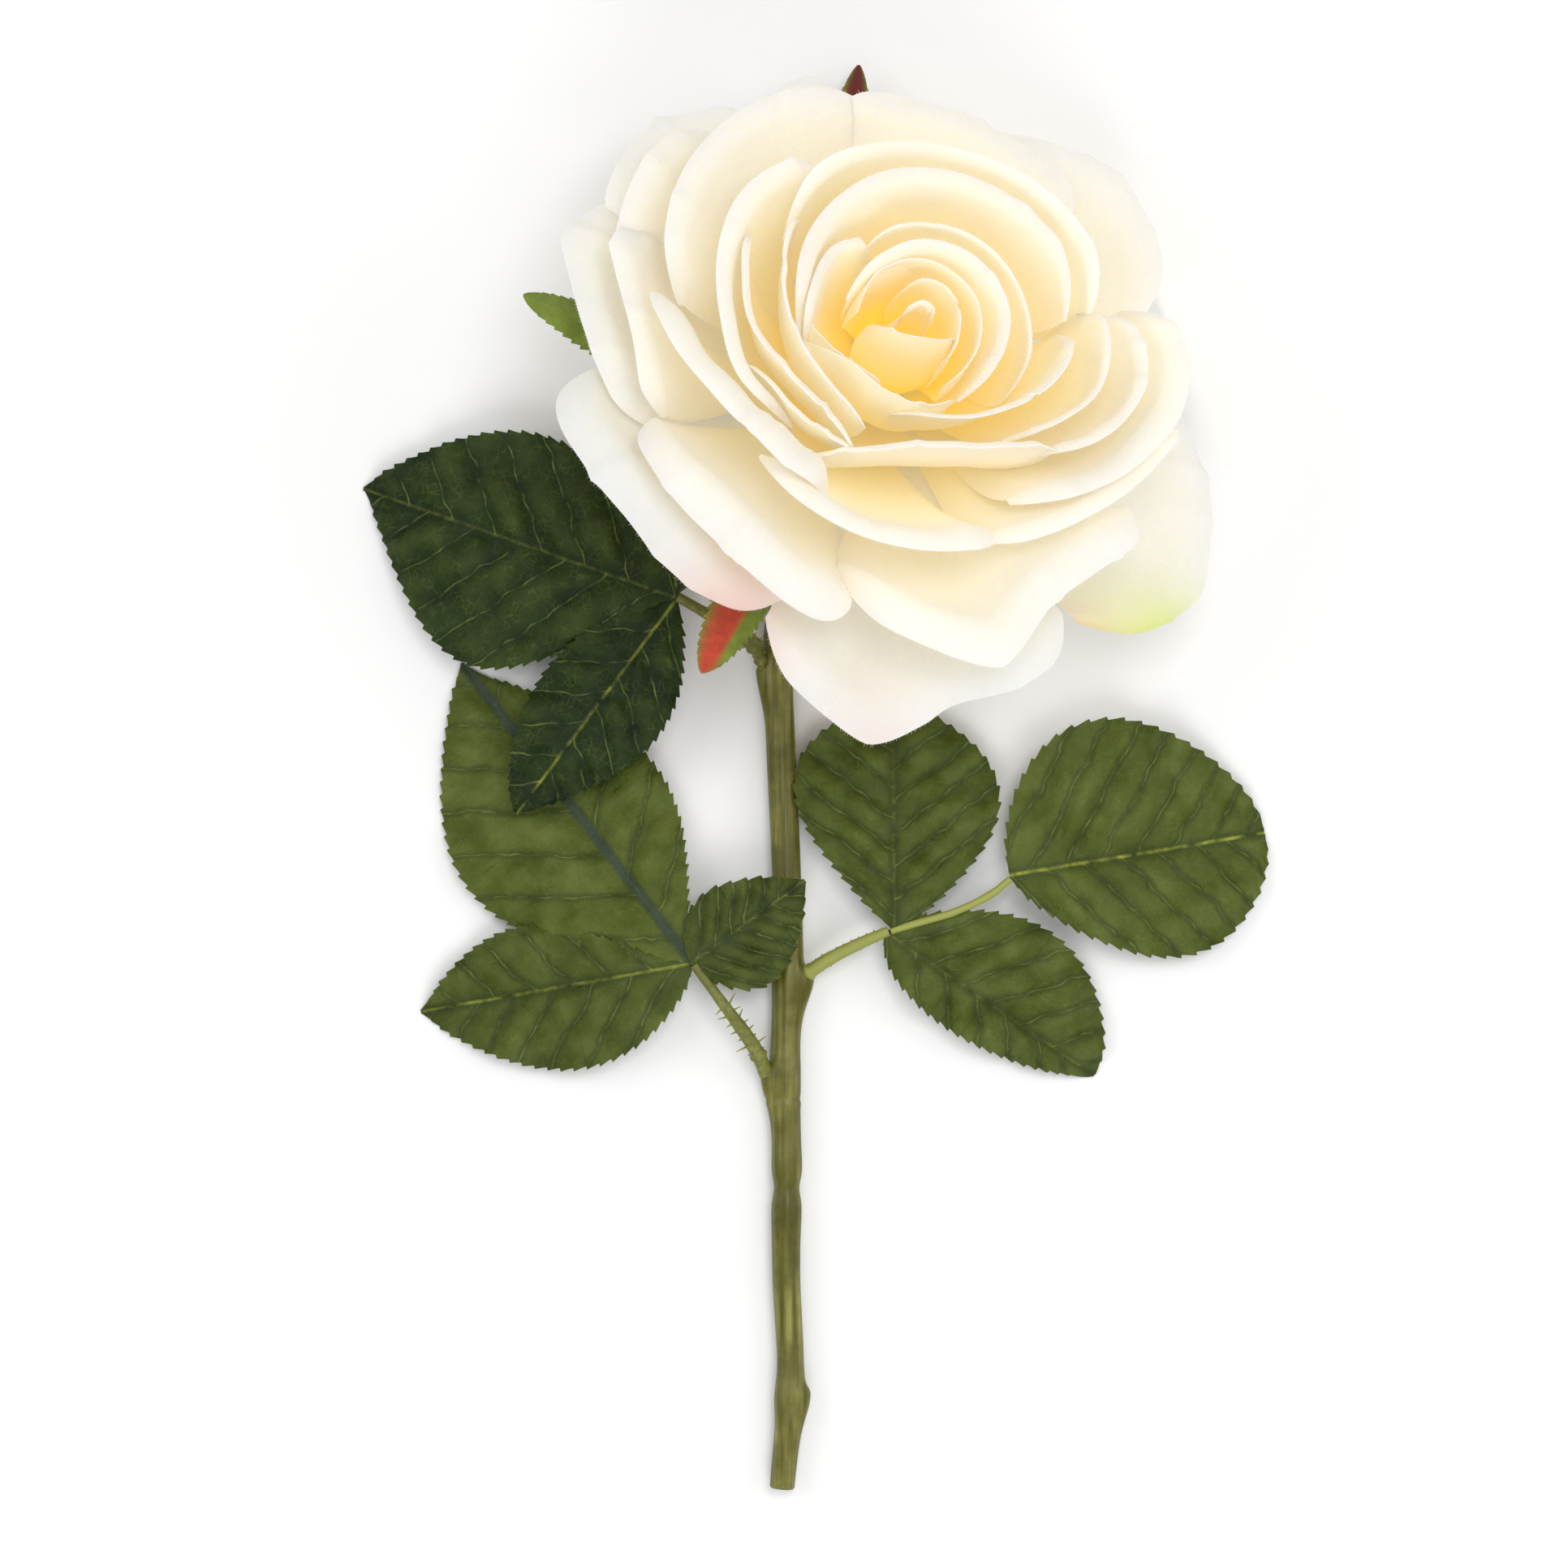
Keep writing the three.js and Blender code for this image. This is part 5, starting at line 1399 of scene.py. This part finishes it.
for order, (spray_name, spray) in enumerate(SPRAYS.items()):
    make_stalk(f"{spray_name}_petiole", spray["petiole"], spray["radii"], spray["collars"], spray["hairs"],
               spray["green"], PETIOLE_SEED + order)
    if "stalk" in spray:
        make_stalk(f"{spray_name}_stalk", spray["stalk"], [STALK_RADIUS] * 2, [], None, 1.0,
                   STALK_SEED + order)
print("stalks made:", len(SPRAYS) + 1)

# %% [markdown]
# ## Sepals, calyx and plug
#
# Five sepals of printed cloth lie under the petals. Only their tips show, and each is printed its own
# colour, from leaf green to dark red with a green rim: its `tone` is how red and how dark it is. The calyx
# is a moulded cup with five soft ribs, and hides where the stem goes in. The plug that the petals are glued
# to is inside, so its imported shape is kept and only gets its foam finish.


# %% Sepal cloth
SEPAL_GREEN = paint(122, 142, 50)
SEPAL_RED = paint(196, 70, 46)
SEPAL_DARK = paint(104, 22, 18)


def make_sepal_material():
    """Printed sepal cloth; tone is how red, how dark and how near the rim it is."""
    material, shader = plain_material("sepal_cloth", SEPAL_GREEN, 0.7)
    tree = material.node_tree
    tone = separate(tree, attribute(tree, "tone"))
    reddened = mix_colours(tree, tone["X"], SEPAL_GREEN, SEPAL_RED)
    darkened = mix_colours(tree, tone["Y"], reddened, SEPAL_DARK)
    rimmed = mix_colours(tree, tone["Z"], darkened, SEPAL_GREEN)
    shade = use_group(tree, MOTTLE, Place=object_place(tree), Scale=400.0, Low=0.8, High=1.15)["Shade"]
    tree.links.new(mix_colours(tree, 1.0, rimmed, shade, "MULTIPLY"), shader.inputs["Base Color"])
    weave = use_group(tree, WEAVE, Cloth=attribute(tree, "cloth"), Pitch=0.5)["Height"]
    bump(tree, shader, weave, 0.00008, 0.8)
    return material


SEPAL_CLOTH_MATERIAL = make_sepal_material()
print("sepal finish:", SEPAL_CLOTH_MATERIAL.name)

# %% Sepals
SEPAL_WIDTH = 9.0
SEPAL_CLOTH = 0.4
SEPAL_HALF = (SEPAL_WIDTH / 2, 1.6, 0.6)
SEPAL_TOOTH = 0.9
SEPAL_KEEL = 0.35
FIRST_SEPAL_SEED = 300
SEPALS = [
    dict(az=171, length=58, lift=9, tone=(0.0, 0.0)),
    dict(az=243, length=56, lift=2, tone=(1.0, 0.0), green_from=0.9),
    dict(az=311, length=44, lift=1, tone=(0.4, 0.1)),
    dict(az=9, length=56, lift=6, tone=(0.6, 0.9)),
    dict(az=92, length=58, lift=13, tone=(1.0, 1.0)),
]


def make_sepal(number, sepal):
    """One sepal under the petals; `lift` raises its tip and `green_from` is where a green side starts."""
    rng = np.random.default_rng(FIRST_SEPAL_SEED + number)
    flat, out = flat_leaf(sepal["length"], SEPAL_HALF, SEPAL_HALF, SEPAL_TOOTH)
    x, y = flat[..., 0], flat[..., 1]
    u = np.clip(x / sepal["length"], 0, 1)
    height = sepal["lift"] * u**2 - 1.0 - SEPAL_KEEL * np.abs(y) + 0.25 * wrinkle(rng, x, y, 11.0) * u
    azimuth = math.radians(sepal["az"])
    outward = math.cos(azimuth) * EAST + math.sin(azimuth) * NORTH
    sideways = np.cross(AXIS, outward)
    radius = CALYX_RADIUS - 1.5 + x
    grid = BLOOM + radius[..., None] * outward + y[..., None] * sideways + height[..., None] * AXIS
    grid[..., 2] = above_table(grid[..., 2], SEPAL_CLOTH)
    green_side = np.clip((y - sepal.get("green_from", SEPAL_WIDTH)) / 1.2, 0, 1)
    rim = np.maximum(np.abs(out)[None, :] ** 3 * 0.9, green_side)
    tone = np.stack([np.full_like(x, sepal["tone"][0]), np.full_like(x, sepal["tone"][1]), rim], axis=-1)
    cloth = np.stack([x, y, np.zeros_like(x)], axis=-1)
    piece = sheet_object(f"cloth_sepal_{number}", grid, SEPAL_CLOTH, cloth, tone)
    finish_piece(piece, SEPAL_CLOTH_MATERIAL, "sepal", f"sepal_{number}")


for number, sepal in enumerate(SEPALS, start=1):
    make_sepal(number, sepal)
print("sepals made:", len(SEPALS))

# %% Calyx
CALYX_PROFILE = [(STEM_RADIUS - 0.2, -CALYX_DEPTH), (STEM_RADIUS + 0.9, -0.93 * CALYX_DEPTH),
                 (0.8 * CALYX_RADIUS, -0.6 * CALYX_DEPTH), (0.97 * CALYX_RADIUS, -0.25 * CALYX_DEPTH),
                 (CALYX_RADIUS, -0.5), (CALYX_RADIUS - 1.2, 0.5)]
CALYX_ROWS = 60
CALYX_SIDES = 90
CALYX_RIB = 0.045
CALYX_PALE = 0.35


def make_calyx():
    """The moulded cup, turned from a profile of radii and heights, with five ribs."""
    share = np.linspace(0, 1, CALYX_ROWS)
    radius, height = (along(column, share) for column in zip(*CALYX_PROFILE))
    path = BLOOM + height[:, None] * AXIS
    angle = np.linspace(0, 2 * math.pi, CALYX_SIDES, endpoint=False)
    ribs = 1 + CALYX_RIB * np.abs(np.cos(2.5 * angle))[None, :] * np.sin(math.pi * share)[:, None]
    piece = rod_object("moulded_calyx", path, radius[:, None] * ribs, CALYX_PALE)
    finish_piece(piece, PETIOLE_MATERIAL, "calyx", "calyx")


make_calyx()
print("calyx rows:", CALYX_ROWS)


# %% The plug's foam
FOAM = paint(226, 220, 196)


def make_foam_material():
    """Pale foam with fine pores."""
    material, shader = plain_material("plug_foam", FOAM, 0.9)
    tree = material.node_tree
    shade = use_group(tree, MOTTLE, Place=object_place(tree), Scale=900.0, Low=0.85, High=1.05)["Shade"]
    tree.links.new(mix_colours(tree, 1.0, FOAM, shade, "MULTIPLY"), shader.inputs["Base Color"])
    bump(tree, shader, shade, 0.0001, 0.5)
    return material


FOAM_MATERIAL = make_foam_material()
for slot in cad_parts["petal_core"].material_slots:
    slot.material = FOAM_MATERIAL
print("plug finish:", FOAM_MATERIAL.name)
